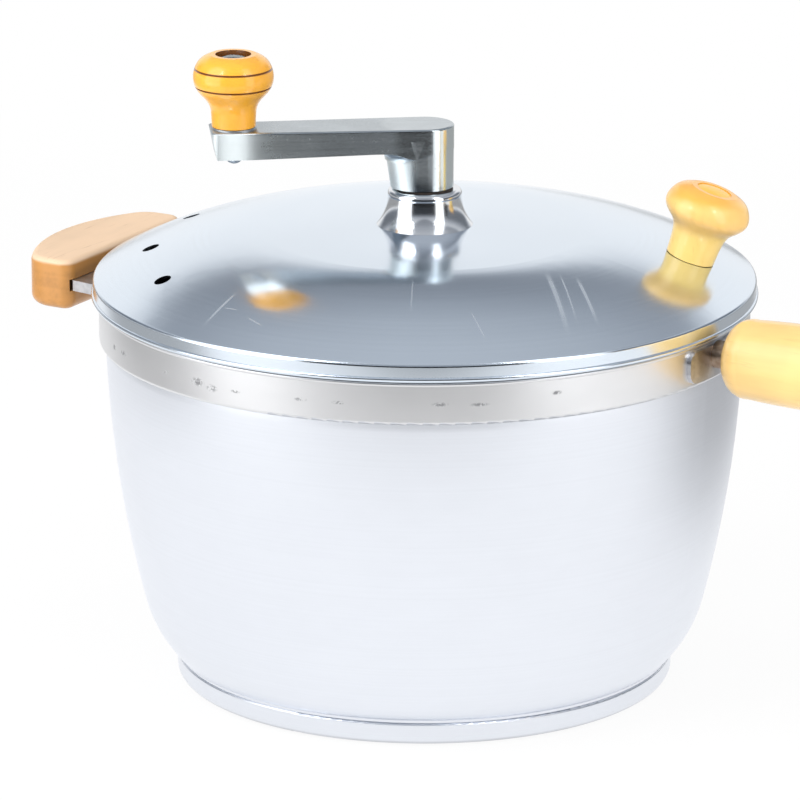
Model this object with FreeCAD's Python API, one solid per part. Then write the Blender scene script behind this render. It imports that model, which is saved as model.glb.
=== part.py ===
"""Stovetop popcorn popper: a tapered pot with a lift-off domed lid and a hand-cranked stirrer.

Millimetres. +Z is up and the origin is the middle of the base, on the stove. +X points along the long handle.
"""
import FreeCAD, Part
import os
from math import asin, atan2, cos, degrees, hypot, radians, sin, sqrt

V = FreeCAD.Vector
UP = V(0, 0, 1)
ALONG_X = V(1, 0, 0)
ORIGIN = V(0, 0, 0)
BIG = 500.0

# Pot
BASE_RADIUS = 90.5
BASE_HEIGHT = 8.4
BASE_BOTTOM_ROUND = 3.5
BASE_TOP_ROUND = 0.8
POT_SHEET = 1.8
FOOT_INSET = 3.6
FOOT_BEND_RADIUS = 6.0
FOOT_BEND_DEG = 46.0
KNEE_OUTSET = 11.7
KNEE_RISE = 21.6
POT_RADIUS = 115.4
RIM_HEIGHT = 149.0
RIM_BEAD_RADIUS = 2.25
SHOULDER_BEND_RADIUS = 40.0

# Steel band round the top of the pot
BAND_SHEET = 1.2
BAND_STAND_OFF = 2.4
BAND_HEIGHT = 15.7
BAND_BELOW_RIM = 7.0
BAND_CORNER_RADIUS = 1.3
BAND_BEAD_RADIUS = 0.8
BAND_BEAD_PROUD = 0.6
SHOULDER_BELOW_BAND = 3.0

# Lid
LID_SHEET = 1.2
LID_SIDE_GAP = 0.7
LID_REST_GAP = 0.3
LID_CROWN_RADIUS = 60.0
LID_CROWN_DROP = 1.8
LID_SHOULDER_DROP = 17.2
LID_KNUCKLE_RADIUS = 1.6
LID_BEAD_RADIUS = 0.9
LID_BEAD_PROUD = 0.5
LID_TO_BAND_GAP = 0.5
VENT_RADIUS = 3.2
VENTS_INSET_AND_DEG = ((18.7, 233.2), (21.0, 209.2), (24.7, 184.0))
LID_KNOB_INSET = 23.7
LID_KNOB_DEG = 22.0

# Hub on the lid
HUB_HEIGHT = 13.2
HUB_FOOT_RADIUS = 17.4
HUB_WAIST_RADIUS = 13.3
HUB_WAIST_BELOW_TOP_SHARE = 0.2
HUB_FLARE_WIDTH_SHARE = 0.30
HUB_FLARE_HEIGHT_SHARE = 0.36
HUB_SHOULDER_WIDTH_SHARE = 0.8
HUB_SHOULDER_DROP_SHARE = 0.055
HUB_TOP_RADIUS = 11.9
HUB_SKIN = 2.4
BUSH_RADIUS = 6.5
BUSH_FLANGE_RADIUS = 9.5
BUSH_FLANGE = 1.4
BUSH_BELOW_NUT = 3.0
HUB_WASHER_RADIUS = 13.0
HUB_WASHER = 1.4
HUB_NUT_ACROSS_FLATS = 19.0
HUB_NUT_BEVEL_SHARE = 0.03
HUB_NUT_HEIGHT = 6.0
THRUST_WASHER_RADIUS = 10.2
THRUST_WASHER = 0.5

# Drive shaft and stirrer
SHAFT_RADIUS = 4.0
SHAFT_CHAMFER = 0.6
RUNNING_GAP = 0.05
AXIAL_GAP = 0.3
BOSS_SOCKET = 16.0
COLLAR_RADIUS = 8.5
COLLAR_HEIGHT = 8.0
STIRRER_HUB_RADIUS = 9.0
STIRRER_HUB_HEIGHT = 20.0
STIRRER_HUB_ROUND = 1.2
SHAFT_IN_HUB = 10.0
STIRRER_FLOOR_GAP = 1.6
STIRRER_WIRE_RADIUS = 1.8
WIRE_ABOVE_HUB_FOOT = 1.6
WIRE_SPACING = 4.8
STIRRER_WALL_GAP = 9.0
SHORT_WIRE_SHARE = 0.62
WIRE_STRAIGHT = 24.0
WIRE_SWEEP_DEG = 24.0
WIRE_BEND_RADIUS = 9.0
WIRE_TIP_RISE_DEG = 62.0
WIRE_TIP_LENGTH = 9.0
STIRRER_DEG = 12.0

# Crank
CRANK_DEG = 216.0
CRANK_REACH = 68.8
ARM_THICKNESS = 8.7
ARM_END_THICKNESS = 9.9
ARM_END_DRAFT = 2.2
ARM_END_PAST_KNOB = 8.8
ARM_END_WIDTH = 17.4
ARM_CORNER_RADIUS = 2.5
ARM_EDGE_ROUND = 0.7
BOSS_RADIUS = 10.6
BOSS_DROP = 14.2
BOSS_STRETCH_TOP = 4.4
BOSS_STRETCH_FOOT = 2.0
BOSS_TAPER = 0.2
BOSS_INSIDE_BAR = 0.02
BOSS_FILLET = 4.0
GUSSET_IN_BOSS = 0.5
RIVET_SEAT_SPAN = 1.5

# Turned wooden knobs
KNOB_HEIGHT = 26.2
CRANK_KNOB_CAP_RADIUS = 14.5
LID_KNOB_CAP_RADIUS = 15.5
KNOB_NECK_HEIGHT = 5.6
KNOB_TOP_FLAT_RADIUS = 8.4
CRANK_KNOB_NECK_RADIUS = 7.9
LID_KNOB_NECK_RADIUS = 8.9
KNOB_NECK_SWELL = 0.3
KNOB_NECK_MIDDLE_SHARE = 0.4
KNOB_FLARE_WIDTH_SHARE = 0.70
KNOB_FLARE_DROP_SHARE = 0.15
KNOB_UNDER_CAP_WIDTH_SHARE = 0.89
KNOB_WIDEST_HEIGHT_SHARE = 0.59
KNOB_SHOULDER_WIDTH_SHARE = 0.91
KNOB_SHOULDER_HEIGHT_SHARE = 0.83
KNOB_NECK_SLOPE = 0.12
KNOB_TOP_SLOPE = 0.35
CRANK_KNOB_UNDER_CAP = 0.36
LID_KNOB_UNDER_CAP = 0.45
KNOB_GROOVE_HEIGHTS = (14.6, 21.1)
KNOB_GROOVE_DEPTH = 0.35
KNOB_GROOVE_WIDTH = 0.7
KNOB_POCKET_RADIUS = 6.4
KNOB_POCKET_DEPTH = 6.0
SPINDLE_RADIUS = 2.6
SPINDLE_HEAD_RADIUS = 5.4
SPINDLE_HEAD_HEIGHT = 3.0
SPINDLE_TAIL_RADIUS = 3.3
SPINDLE_TAIL_HEIGHT = 1.6
KNOB_WASHER_RADIUS = 7.7
KNOB_WASHER = 0.6
KNOB_PLUG_STANDS_PROUD = 0.4
KNOB_SCREW_RADIUS = 2.4
KNOB_SCREW_HEAD_RADIUS = 4.8
KNOB_SCREW_HEAD_HEIGHT = 2.88
KNOB_SCREW_WASHER_RADIUS = 6.24
KNOB_SCREW_WASHER_SHARE = 0.6
KNOB_SCREW_BITE = 17.0

# Handles
HANDLE_BELOW_BAND_TOP = 6.0
SADDLE_WIDTH = 35.0
SADDLE_HEIGHT = 11.6
SADDLE_SHEET = 1.6
SADDLE_CORNER_RADIUS = 4.0
FERRULE_RADIUS = 5.0
FERRULE_LENGTH = 5.6
SPIGOT_RADIUS = 4.2
SPIGOT_LENGTH = 12.0
HANDLE_LENGTH = 150.0
HANDLE_NOSE_RADIUS = 6.6
HANDLE_NOSE_LENGTH = 9.0
HANDLE_GRIP_RADIUS = 14.2
HANDLE_SWELL = 0.6
HANDLE_WAIST_RADIUS = 13.0
HANDLE_TAIL_RADIUS = 14.2
HANDLE_TAIL_ROUND = 9.0
HANDLE_SWELL_AT_SHARE = 0.30
HANDLE_WAIST_AT_SHARE = 0.72
HANDLE_ROUND_MIDDLE_SHARE = 0.27
HANDLE_NOSE_FULLNESS = 0.72
HANDLE_TAIL_DROP_SHARE = 0.32
HANDLE_TAIL_FACE_DROP_SHARE = 0.75
HANDLE_BOLT_RADIUS = 3.0
HANDLE_BOLT_HEAD_RADIUS = 5.6
HANDLE_BOLT_HEAD_HEIGHT = 3.6
HANDLE_POCKET_RADIUS = 6.9
HANDLE_POCKET_DEPTH = 6.5
HANDLE_WASHER = 1.2
BOLT_HOLE_GAP = 0.3
GRIP_GAP = 9.8
GRIP_HALF_LENGTH = 39.8
GRIP_DEPTH = 29.2
GRIP_THICKNESS = 19.0
GRIP_BACK_RADIUS = 67.4
GRIP_INNER_CORNER = 5.0
GRIP_OUTER_CORNER = 11.0
GRIP_TOP_ROUND = 2.4
GRIP_BOTTOM_ROUND = 4.0
PLATE_THICKNESS = 4.0
PLATE_POT_HALF_WIDTH = 41.5
PLATE_GRIP_HALF_WIDTH = 37.0
TONGUE_END_HALF_WIDTH = 27.0
TONGUE_DEPTH = 17.0
SLOT_GAP = 0.2
SLOT_END_GAP = 1.3
GRIP_SCREW_SPACING = 38.0
GRIP_SCREW_INSET = 9.5
GRIP_SCREW_RADIUS = 2.1
GRIP_SCREW_HEAD_RADIUS = 4.2
GRIP_SCREW_HEAD_HEIGHT = 2.6
GRIP_SCREW_RIM_SHARE = 0.2
GRIP_SCREW_RECESS_SHARE = 0.6
GRIP_SCREW_POCKET = 0.6
GRIP_SCREW_TOP_WOOD = 3.5

# Small screws
SET_SCREW_RADIUS = 2.0
HEX_SOCKET_ACROSS = 2.0
HEX_SOCKET_DEPTH = 1.6
SLOT_WIDTH = 1.2
SLOT_DEPTH = 1.1
HEAD_CROWN_SHARE = 0.45


class Outline:
    """A smooth line of straight runs and tangent arcs in the (radius, height) plane."""

    def __init__(self, start, heading_deg):
        self.at = start
        self.heading = heading_deg
        self.stations = [(start, heading_deg)]
        self.middles = []
        self.arcs = []

    def _add(self, end, heading_deg, middle, arc):
        self.at = end
        self.heading = heading_deg
        self.stations.append((end, heading_deg))
        self.middles.append(middle)
        self.arcs.append(arc)
        return self

    def line(self, length):
        h = radians(self.heading)
        end = (self.at[0] + length * cos(h), self.at[1] + length * sin(h))
        return self._add(end, self.heading, None, None)

    def turn(self, radius, angle_deg):
        """An arc of this radius; positive angles turn left."""
        side = 1.0 if angle_deg > 0 else -1.0
        normal = radians(self.heading + 90 * side)
        centre = (self.at[0] + radius * cos(normal), self.at[1] + radius * sin(normal))
        def point(share):
            a = radians(self.heading + angle_deg * share - 90 * side)
            return (centre[0] + radius * cos(a), centre[1] + radius * sin(a))
        middle_heading = self.heading + angle_deg / 2
        return self._add(point(1.0), self.heading + angle_deg, (point(0.5), middle_heading), (centre, radius))

    def turn_to(self, radius, heading_deg):
        return self.turn(radius, heading_deg - self.heading)

    def arc_to(self, end):
        """The arc that leaves along the present heading and ends at this point."""
        dx, dz = end[0] - self.at[0], end[1] - self.at[1]
        chord_deg = degrees(atan2(dz, dx))
        angle = 2 * (chord_deg - self.heading)
        radius = hypot(dx, dz) / (2 * abs(sin(radians(angle / 2))))
        return self.turn(radius, angle)

    def edges(self, aside=0.0):
        """The same line moved sideways, to the left of its travel when aside is positive."""
        def moved(point, heading_deg):
            n = radians(heading_deg + 90)
            return V(point[0] + aside * cos(n), 0, point[1] + aside * sin(n))
        found = []
        for (start, end, middle) in zip(self.stations, self.stations[1:], self.middles):
            a, b = moved(*start), moved(*end)
            if middle:
                found.append(Part.Arc(a, moved(*middle), b).toShape())
            else:
                found.append(Part.LineSegment(a, b).toShape())
        return found

    def sheet(self, aside):
        """The outline spun round the Z axis as a sheet of this thickness."""
        near, far = self.edges(), self.edges(aside)
        a, b = near[0].valueAt(near[0].FirstParameter), near[-1].valueAt(near[-1].LastParameter)
        c, d = far[0].valueAt(far[0].FirstParameter), far[-1].valueAt(far[-1].LastParameter)
        ends = [Part.LineSegment(a, c).toShape(), Part.LineSegment(b, d).toShape()]
        return spin(near + far + ends)


def spin(edges, base=ORIGIN, axis=UP):
    """A closed ring of edges spun through a full turn."""
    wire = Part.Wire(Part.__sortEdges__(edges))
    return Part.Face(wire).revolve(base, axis, 360)


def corners(points):
    """Straight edges through points in the (radius, height) plane, closed."""
    loop = [V(r, 0, z) for r, z in points]
    return [Part.LineSegment(a, b).toShape() for a, b in zip(loop, loop[1:] + loop[:1])]


def turned(points):
    """A solid spun round Z from a closed outline of straight edges."""
    return spin(corners(points))


def ring(inner, outer, low, high):
    if inner <= 0:
        return Part.makeCylinder(outer, high - low, V(0, 0, low))
    return turned([(inner, low), (outer, low), (outer, high), (inner, high)])


def rod(radius, start, direction, length):
    return Part.makeCylinder(radius, length, start, direction)


def torus(ring_radius, section_radius, height):
    return Part.makeTorus(ring_radius, section_radius, V(0, 0, height), UP)


def round_edges(shape, radius, wanted):
    """Rounds the edges for which wanted(edge) is true."""
    chosen = [e for e in shape.Edges if wanted(e)]
    return shape.makeFillet(radius, chosen) if chosen and radius > 0 else shape


def at_height(z):
    def test(edge):
        box = edge.BoundBox
        return abs(box.ZMin - z) < 1e-4 and abs(box.ZMax - z) < 1e-4
    return test


def hexagon(across_flats, low, high):
    corner = across_flats / sqrt(3)
    points = [V(corner * cos(radians(60 * k)), corner * sin(radians(60 * k)), low) for k in range(7)]
    return Part.Face(Part.makePolygon(points)).extrude(V(0, 0, high - low))


def posed(shape, turn_deg=0.0, tilt_deg=0.0, place=ORIGIN):
    """A copy tilted outwards about the Y axis, then turned about Z, then moved."""
    turn = FreeCAD.Rotation(UP, turn_deg)
    tilt = FreeCAD.Rotation(V(0, 1, 0), tilt_deg)
    moved = shape.copy()
    moved.Placement = FreeCAD.Placement(place, turn.multiply(tilt)).multiply(shape.Placement)
    return moved


def polar(radius, angle_deg, z=0.0):
    return V(radius * cos(radians(angle_deg)), radius * sin(radians(angle_deg)), z)


def domed_disc(radius, low, edge_z, top):
    """A disc from low to top whose upper face is part of a ball, centred on the axis, down to edge_z."""
    rise = top - edge_z
    ball = (radius ** 2 + rise ** 2) / (2 * rise)
    half_way = asin(radius / ball) / 2
    middle = V(ball * sin(half_way), 0, top - ball * (1 - cos(half_way)))
    section = [
        Part.LineSegment(V(0, 0, low), V(radius, 0, low)).toShape(),
        Part.LineSegment(V(radius, 0, low), V(radius, 0, edge_z)).toShape(),
        Part.Arc(V(radius, 0, edge_z), middle, V(0, 0, top)).toShape(),
        Part.LineSegment(V(0, 0, top), V(0, 0, low)).toShape(),
    ]
    return spin(section)


def pan_head(radius, height, low, shank_radius, shank_low):
    """A screw that points down: a domed, slotted head standing on its shank."""
    head = domed_disc(radius, low, low + height * (1 - HEAD_CROWN_SHARE), low + height)
    slot = Part.makeBox(2 * radius, SLOT_WIDTH, SLOT_DEPTH + BIG)
    slot.translate(V(-radius, -SLOT_WIDTH / 2, low + height - SLOT_DEPTH))
    shank = ring(0, shank_radius, shank_low, low)
    return head.cut(slot).fuse(shank).removeSplitter()


def socket_screw(length):
    """A headless screw along +X from the origin, its hexagon socket at the far end."""
    body = rod(SET_SCREW_RADIUS, ORIGIN, ALONG_X, length)
    socket = hexagon(HEX_SOCKET_ACROSS, 0, HEX_SOCKET_DEPTH)
    socket = posed(socket, 0, 90, V(length - HEX_SOCKET_DEPTH, 0, 0))
    return body.cut(socket)


# Places worked out from the sizes above

FLOOR = BASE_HEIGHT + POT_SHEET
BAND_TOP = RIM_HEIGHT - BAND_BELOW_RIM
BAND_BOTTOM = BAND_TOP - BAND_HEIGHT
HANDLE_Z = BAND_TOP - HANDLE_BELOW_BAND_TOP


def pot_outline():
    """Outside of the pot, from the middle of its floor up to the rim."""
    line = Outline((0, BASE_HEIGHT), 0)
    line.line(BASE_RADIUS - FOOT_INSET)
    line.turn(FOOT_BEND_RADIUS, FOOT_BEND_DEG)
    line.arc_to((BASE_RADIUS + KNEE_OUTSET, BASE_HEIGHT + KNEE_RISE))
    line.arc_to((POT_RADIUS, BAND_BOTTOM - SHOULDER_BELOW_BAND))
    line.turn_to(SHOULDER_BEND_RADIUS, 90)
    line.line(RIM_HEIGHT - RIM_BEAD_RADIUS - line.at[1])
    return line


POT_OUTLINE = pot_outline()
WALL_RADIUS = POT_OUTLINE.at[0]
BAND_RADIUS = WALL_RADIUS + BAND_STAND_OFF
RIM_BEAD_CENTRE = WALL_RADIUS - POT_SHEET + RIM_BEAD_RADIUS
LID_RADIUS = RIM_BEAD_CENTRE + RIM_BEAD_RADIUS + LID_SIDE_GAP + LID_SHEET
SADDLE_FACE = BAND_RADIUS + SADDLE_SHEET
FERRULE_FACE = SADDLE_FACE + FERRULE_LENGTH
GRIP_FACE = BAND_RADIUS + GRIP_GAP


def lid_outline(top):
    """Outside of the lid, from its middle out and down to the bottom of its skirt."""
    knuckle = LID_RADIUS - LID_KNUCKLE_RADIUS * 0.55
    line = Outline((0, top), 0)
    line.arc_to((LID_CROWN_RADIUS, top - LID_CROWN_DROP))
    line.arc_to((knuckle, top - LID_CROWN_DROP - LID_SHOULDER_DROP))
    line.turn_to(LID_KNUCKLE_RADIUS, -90)
    return line


def lid_top():
    """Height at which the inside of the lid's shoulder comes to rest on the rim bead."""
    (centre_r, centre_z), radius = lid_outline(0).arcs[1]
    reach = radius - LID_SHEET - LID_REST_GAP - RIM_BEAD_RADIUS
    seat = centre_z + sqrt(reach ** 2 - (RIM_BEAD_CENTRE - centre_r) ** 2)
    return RIM_HEIGHT - RIM_BEAD_RADIUS - seat


LID_TOP = lid_top()
LID_OUTLINE = lid_outline(LID_TOP)
SKIRT_BOTTOM = BAND_TOP + LID_TO_BAND_GAP


def on_lid(radius):
    """Height and outward slope in degrees of the lid's outside at this radius, on crown or shoulder."""
    (centre_r, centre_z), arc_radius = LID_OUTLINE.arcs[0 if radius < LID_CROWN_RADIUS else 1]
    lean = asin((radius - centre_r) / arc_radius)
    return centre_z + arc_radius * cos(lean), degrees(lean)


LID_UNDERSIDE = LID_TOP - LID_SHEET
HUB_TOP = LID_TOP + HUB_HEIGHT
NUT_TOP = LID_UNDERSIDE - HUB_WASHER
NUT_BOTTOM = NUT_TOP - HUB_NUT_HEIGHT
BUSH_BOTTOM = NUT_BOTTOM - BUSH_BELOW_NUT
BOSS_BOTTOM = HUB_TOP + THRUST_WASHER + AXIAL_GAP
ARM_BOTTOM = BOSS_BOTTOM + BOSS_DROP
ARM_TOP = ARM_BOTTOM + ARM_THICKNESS
ARM_END = CRANK_REACH + ARM_END_PAST_KNOB
RIVET_SEAT = ARM_TOP - ARM_END_THICKNESS
KNOB_BOTTOM = ARM_TOP + KNOB_WASHER + AXIAL_GAP
SHAFT_TOP = BOSS_BOTTOM + BOSS_SOCKET
COLLAR_TOP = BUSH_BOTTOM - AXIAL_GAP
HUB_FOOT = FLOOR + STIRRER_FLOOR_GAP
LONG_WIRE_Z = HUB_FOOT + WIRE_ABOVE_HUB_FOOT + STIRRER_WIRE_RADIUS
SHORT_WIRE_Z = LONG_WIRE_Z + WIRE_SPACING
STIRRER_HUB_TOP = HUB_FOOT + STIRRER_HUB_HEIGHT
SHAFT_FOOT = STIRRER_HUB_TOP - SHAFT_IN_HUB
STIRRER_REACH = BASE_RADIUS - FOOT_INSET - STIRRER_WALL_GAP


# Pot

def base_disc():
    r, h, low, top = BASE_RADIUS, BASE_HEIGHT, BASE_BOTTOM_ROUND, BASE_TOP_ROUND
    line = Outline((0, 0), 0)
    line.line(r - low)
    line.turn(low, 90)
    line.line(h - low - top)
    line.turn(top, 90)
    line.line(r - top)
    return spin(line.edges() + [Part.LineSegment(V(0, 0, h), ORIGIN).toShape()])


def pot_shell():
    wall = POT_OUTLINE.sheet(POT_SHEET)
    bead = torus(RIM_BEAD_CENTRE, RIM_BEAD_RADIUS, RIM_HEIGHT - RIM_BEAD_RADIUS)
    return wall.fuse(bead).removeSplitter()


def rim_band():
    """Steel channel: both edges turn in to meet the pot wall, and the top edge carries a rolled bead."""
    flange = BAND_RADIUS - WALL_RADIUS - BAND_CORNER_RADIUS
    line = Outline((WALL_RADIUS, BAND_BOTTOM), 0)
    line.line(flange)
    line.turn_to(BAND_CORNER_RADIUS, 90)
    line.line(BAND_HEIGHT - 2 * BAND_CORNER_RADIUS)
    line.turn_to(BAND_CORNER_RADIUS, 180)
    line.line(flange)
    bead_centre = BAND_RADIUS + BAND_BEAD_PROUD - BAND_BEAD_RADIUS
    bead = torus(bead_centre, BAND_BEAD_RADIUS, BAND_TOP - BAND_BEAD_RADIUS)
    return line.sheet(BAND_SHEET).fuse(bead).removeSplitter()


# Long handle

def handle_saddle():
    """Curved plate welded to the band, which carries the ferrule of the long handle."""
    low = BAND_BOTTOM + (BAND_HEIGHT - SADDLE_HEIGHT) / 2
    block = Part.makeBox(BIG, SADDLE_WIDTH, SADDLE_HEIGHT, V(0, -SADDLE_WIDTH / 2, low))
    block = round_edges(block, SADDLE_CORNER_RADIUS, lambda e: e.BoundBox.XLength > BIG / 2)
    shell = ring(BAND_RADIUS, SADDLE_FACE, low - 1, low + SADDLE_HEIGHT + 1)
    return shell.common(block)


def handle_ferrule():
    """Turned steel piece: a collar against the saddle and a spigot inside the wood."""
    sink = SADDLE_FACE - sqrt(SADDLE_FACE ** 2 - FERRULE_RADIUS ** 2)
    start = SADDLE_FACE - sink - SADDLE_SHEET / 2
    collar = rod(FERRULE_RADIUS, V(start, 0, HANDLE_Z), ALONG_X, FERRULE_FACE - start)
    collar = collar.cut(ring(0, SADDLE_FACE, HANDLE_Z - BIG / 4, HANDLE_Z + BIG / 4))
    spigot = rod(SPIGOT_RADIUS, V(FERRULE_FACE, 0, HANDLE_Z), ALONG_X, SPIGOT_LENGTH)
    bore = rod(HANDLE_BOLT_RADIUS, V(FERRULE_FACE, 0, HANDLE_Z), ALONG_X, SPIGOT_LENGTH)
    return collar.fuse(spigot).cut(bore).removeSplitter()


def along_handle(shape):
    """Lays a shape built along +Z with its start at 0 onto the handle's axis."""
    return posed(shape, 0, 90, V(FERRULE_FACE, 0, HANDLE_Z))


def long_handle():
    """Turned grip: rounded nose, swelling palm, narrow waist and rounded tail."""
    length, nose = HANDLE_LENGTH, HANDLE_NOSE_LENGTH
    swell_at = nose + (length - nose) * HANDLE_SWELL_AT_SHARE
    waist_at = nose + (length - nose) * HANDLE_WAIST_AT_SHARE
    tail_at = length - HANDLE_TAIL_ROUND
    nose_rise = (HANDLE_GRIP_RADIUS - HANDLE_NOSE_RADIUS) * HANDLE_NOSE_FULLNESS
    tail_mid_radius = HANDLE_TAIL_RADIUS - HANDLE_TAIL_ROUND * HANDLE_TAIL_DROP_SHARE
    tail_face = HANDLE_TAIL_RADIUS - HANDLE_TAIL_ROUND * HANDLE_TAIL_FACE_DROP_SHARE
    def p(along, radius):
        return V(radius, 0, along)
    nose_mid = p(nose * HANDLE_ROUND_MIDDLE_SHARE, HANDLE_NOSE_RADIUS + nose_rise)
    tail_mid = p(length - HANDLE_TAIL_ROUND * HANDLE_ROUND_MIDDLE_SHARE, tail_mid_radius)
    flank = Part.BSplineCurve()
    flank.interpolate(
        Points=[
            p(nose, HANDLE_GRIP_RADIUS),
            p(swell_at, HANDLE_GRIP_RADIUS + HANDLE_SWELL),
            p(waist_at, HANDLE_WAIST_RADIUS),
            p(tail_at, HANDLE_TAIL_RADIUS),
        ]
    )
    edges = [
        Part.LineSegment(p(0, 0), p(0, HANDLE_NOSE_RADIUS)).toShape(),
        Part.Arc(p(0, HANDLE_NOSE_RADIUS), nose_mid, p(nose, HANDLE_GRIP_RADIUS)).toShape(),
        flank.toShape(),
        Part.Arc(p(tail_at, HANDLE_TAIL_RADIUS), tail_mid, p(length, tail_face)).toShape(),
        Part.LineSegment(p(length, tail_face), p(length, 0)).toShape(),
        Part.LineSegment(p(length, 0), p(0, 0)).toShape(),
    ]
    wood = spin(edges)
    bore = ring(0, HANDLE_BOLT_RADIUS + BOLT_HOLE_GAP, 0, length)
    socket = ring(0, SPIGOT_RADIUS, 0, SPIGOT_LENGTH)
    pocket = ring(0, HANDLE_POCKET_RADIUS, length - HANDLE_POCKET_DEPTH, length)
    return along_handle(wood.cut(bore.fuse(socket).fuse(pocket)))


def handle_washer():
    low = HANDLE_LENGTH - HANDLE_POCKET_DEPTH
    outer = HANDLE_POCKET_RADIUS - BOLT_HOLE_GAP
    return along_handle(ring(HANDLE_BOLT_RADIUS, outer, low, low + HANDLE_WASHER))


def handle_bolt():
    low = HANDLE_LENGTH - HANDLE_POCKET_DEPTH + HANDLE_WASHER
    bolt = pan_head(HANDLE_BOLT_HEAD_RADIUS, HANDLE_BOLT_HEAD_HEIGHT, low, HANDLE_BOLT_RADIUS, SHAFT_CHAMFER)
    return along_handle(bolt)


# Side grip

def tongue_plan(gap_end, gap_deep):
    """Half of the tongue's outline in the wood, as distances from the pot's axis and from the middle."""
    return [
        (GRIP_FACE, PLATE_GRIP_HALF_WIDTH + gap_end),
        (GRIP_FACE + TONGUE_DEPTH + gap_deep, TONGUE_END_HALF_WIDTH + gap_end),
    ]


def mirrored_slab(half_plan, low, thickness):
    """A slab on the side of the short grip, alike on both sides of its middle."""
    loop = [V(-r, y, low) for r, y in half_plan] + [V(-r, -y, low) for r, y in reversed(half_plan)]
    return Part.Face(Part.makePolygon(loop + loop[:1])).extrude(V(0, 0, thickness))


def side_plate():
    """Flat bracket welded to the band opposite the long handle, with a tongue inside the wooden grip."""
    z = HANDLE_Z - PLATE_THICKNESS / 2
    plan = [(BAND_RADIUS - PLATE_POT_HALF_WIDTH / 2, PLATE_POT_HALF_WIDTH)] + tongue_plan(0, 0)
    plate = mirrored_slab(plan, z, PLATE_THICKNESS)
    plate = plate.cut(ring(0, BAND_RADIUS, z - 1, z + PLATE_THICKNESS + 1))
    for centre in grip_screw_places():
        plate = plate.cut(rod(GRIP_SCREW_RADIUS + SLOT_GAP, centre + V(0, 0, -BIG / 2), UP, BIG))
    return plate


def grip_screw_places():
    x = -(GRIP_FACE + GRIP_SCREW_INSET)
    return [V(x, side * GRIP_SCREW_SPACING / 2, 0) for side in (-1, 1)]


def grip_block():
    """Half-moon of wood with a straight face towards the pot."""
    back = GRIP_FACE + GRIP_DEPTH
    centre = back - GRIP_BACK_RADIUS
    side_at = centre + sqrt(GRIP_BACK_RADIUS ** 2 - GRIP_HALF_LENGTH ** 2)
    low = HANDLE_Z - GRIP_THICKNESS / 2
    a, b = V(-GRIP_FACE, -GRIP_HALF_LENGTH, low), V(-GRIP_FACE, GRIP_HALF_LENGTH, low)
    c, d = V(-side_at, GRIP_HALF_LENGTH, low), V(-side_at, -GRIP_HALF_LENGTH, low)
    edges = [
        Part.LineSegment(a, b).toShape(),
        Part.LineSegment(b, c).toShape(),
        Part.Arc(c, V(-back, 0, low), d).toShape(),
        Part.LineSegment(d, a).toShape(),
    ]
    block = Part.Face(Part.Wire(edges)).extrude(V(0, 0, GRIP_THICKNESS))
    def upright_at(x):
        return lambda e: e.BoundBox.ZLength > GRIP_THICKNESS / 2 and abs(e.BoundBox.XMin - x) < 0.01
    block = round_edges(block, GRIP_INNER_CORNER, upright_at(-GRIP_FACE))
    block = round_edges(block, GRIP_OUTER_CORNER, upright_at(-side_at))
    block = round_edges(block, GRIP_TOP_ROUND, at_height(low + GRIP_THICKNESS))
    return round_edges(block, GRIP_BOTTOM_ROUND, at_height(low))


def side_grip():
    slot = mirrored_slab(
        tongue_plan(SLOT_END_GAP, SLOT_GAP),
        HANDLE_Z - PLATE_THICKNESS / 2 - SLOT_GAP,
        PLATE_THICKNESS + 2 * SLOT_GAP,
    )
    wood = grip_block().cut(slot)
    low = HANDLE_Z - GRIP_THICKNESS / 2
    for centre in grip_screw_places():
        wood = wood.cut(grip_screw_blank().translated(centre))
        wood = wood.cut(rod(GRIP_SCREW_HEAD_RADIUS, centre + V(0, 0, low), UP, GRIP_SCREW_POCKET))
    return wood


def grip_screw_blank():
    """Countersunk screw that points up, before its cross recess is cut."""
    low = HANDLE_Z - GRIP_THICKNESS / 2 + GRIP_SCREW_POCKET
    top = HANDLE_Z + GRIP_THICKNESS / 2 - GRIP_SCREW_TOP_WOOD
    return turned([
        (0, low),
        (GRIP_SCREW_HEAD_RADIUS, low),
        (GRIP_SCREW_HEAD_RADIUS, low + GRIP_SCREW_HEAD_HEIGHT * GRIP_SCREW_RIM_SHARE),
        (GRIP_SCREW_RADIUS, low + GRIP_SCREW_HEAD_HEIGHT),
        (GRIP_SCREW_RADIUS, top - GRIP_SCREW_RADIUS),
        (0, top),
    ])


def grip_screws():
    """Two countersunk wood screws that come up through the wood and the plate's tongue."""
    screw = grip_screw_blank()
    reach = GRIP_SCREW_HEAD_RADIUS * GRIP_SCREW_RECESS_SHARE
    for turn_deg in (0, 90):
        bar = Part.makeBox(2 * reach, SLOT_WIDTH, SLOT_DEPTH)
        bar.translate(V(-reach, -SLOT_WIDTH / 2, screw.BoundBox.ZMin))
        screw = screw.cut(posed(bar, turn_deg))
    return [screw.translated(centre) for centre in grip_screw_places()]


# Lid

def knob_seat():
    """Place, tilt and turn of the lid knob, which stands square on the lid's slope."""
    radius = LID_RADIUS - LID_KNOB_INSET
    height, slope = on_lid(radius)
    return radius, height, slope


def stand_on_lid(shape):
    """Moves a shape built on the origin so that it stands on the outside of the lid at the knob."""
    radius, height, slope = knob_seat()
    return posed(shape, LID_KNOB_DEG, slope, polar(radius, LID_KNOB_DEG, height))


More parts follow.
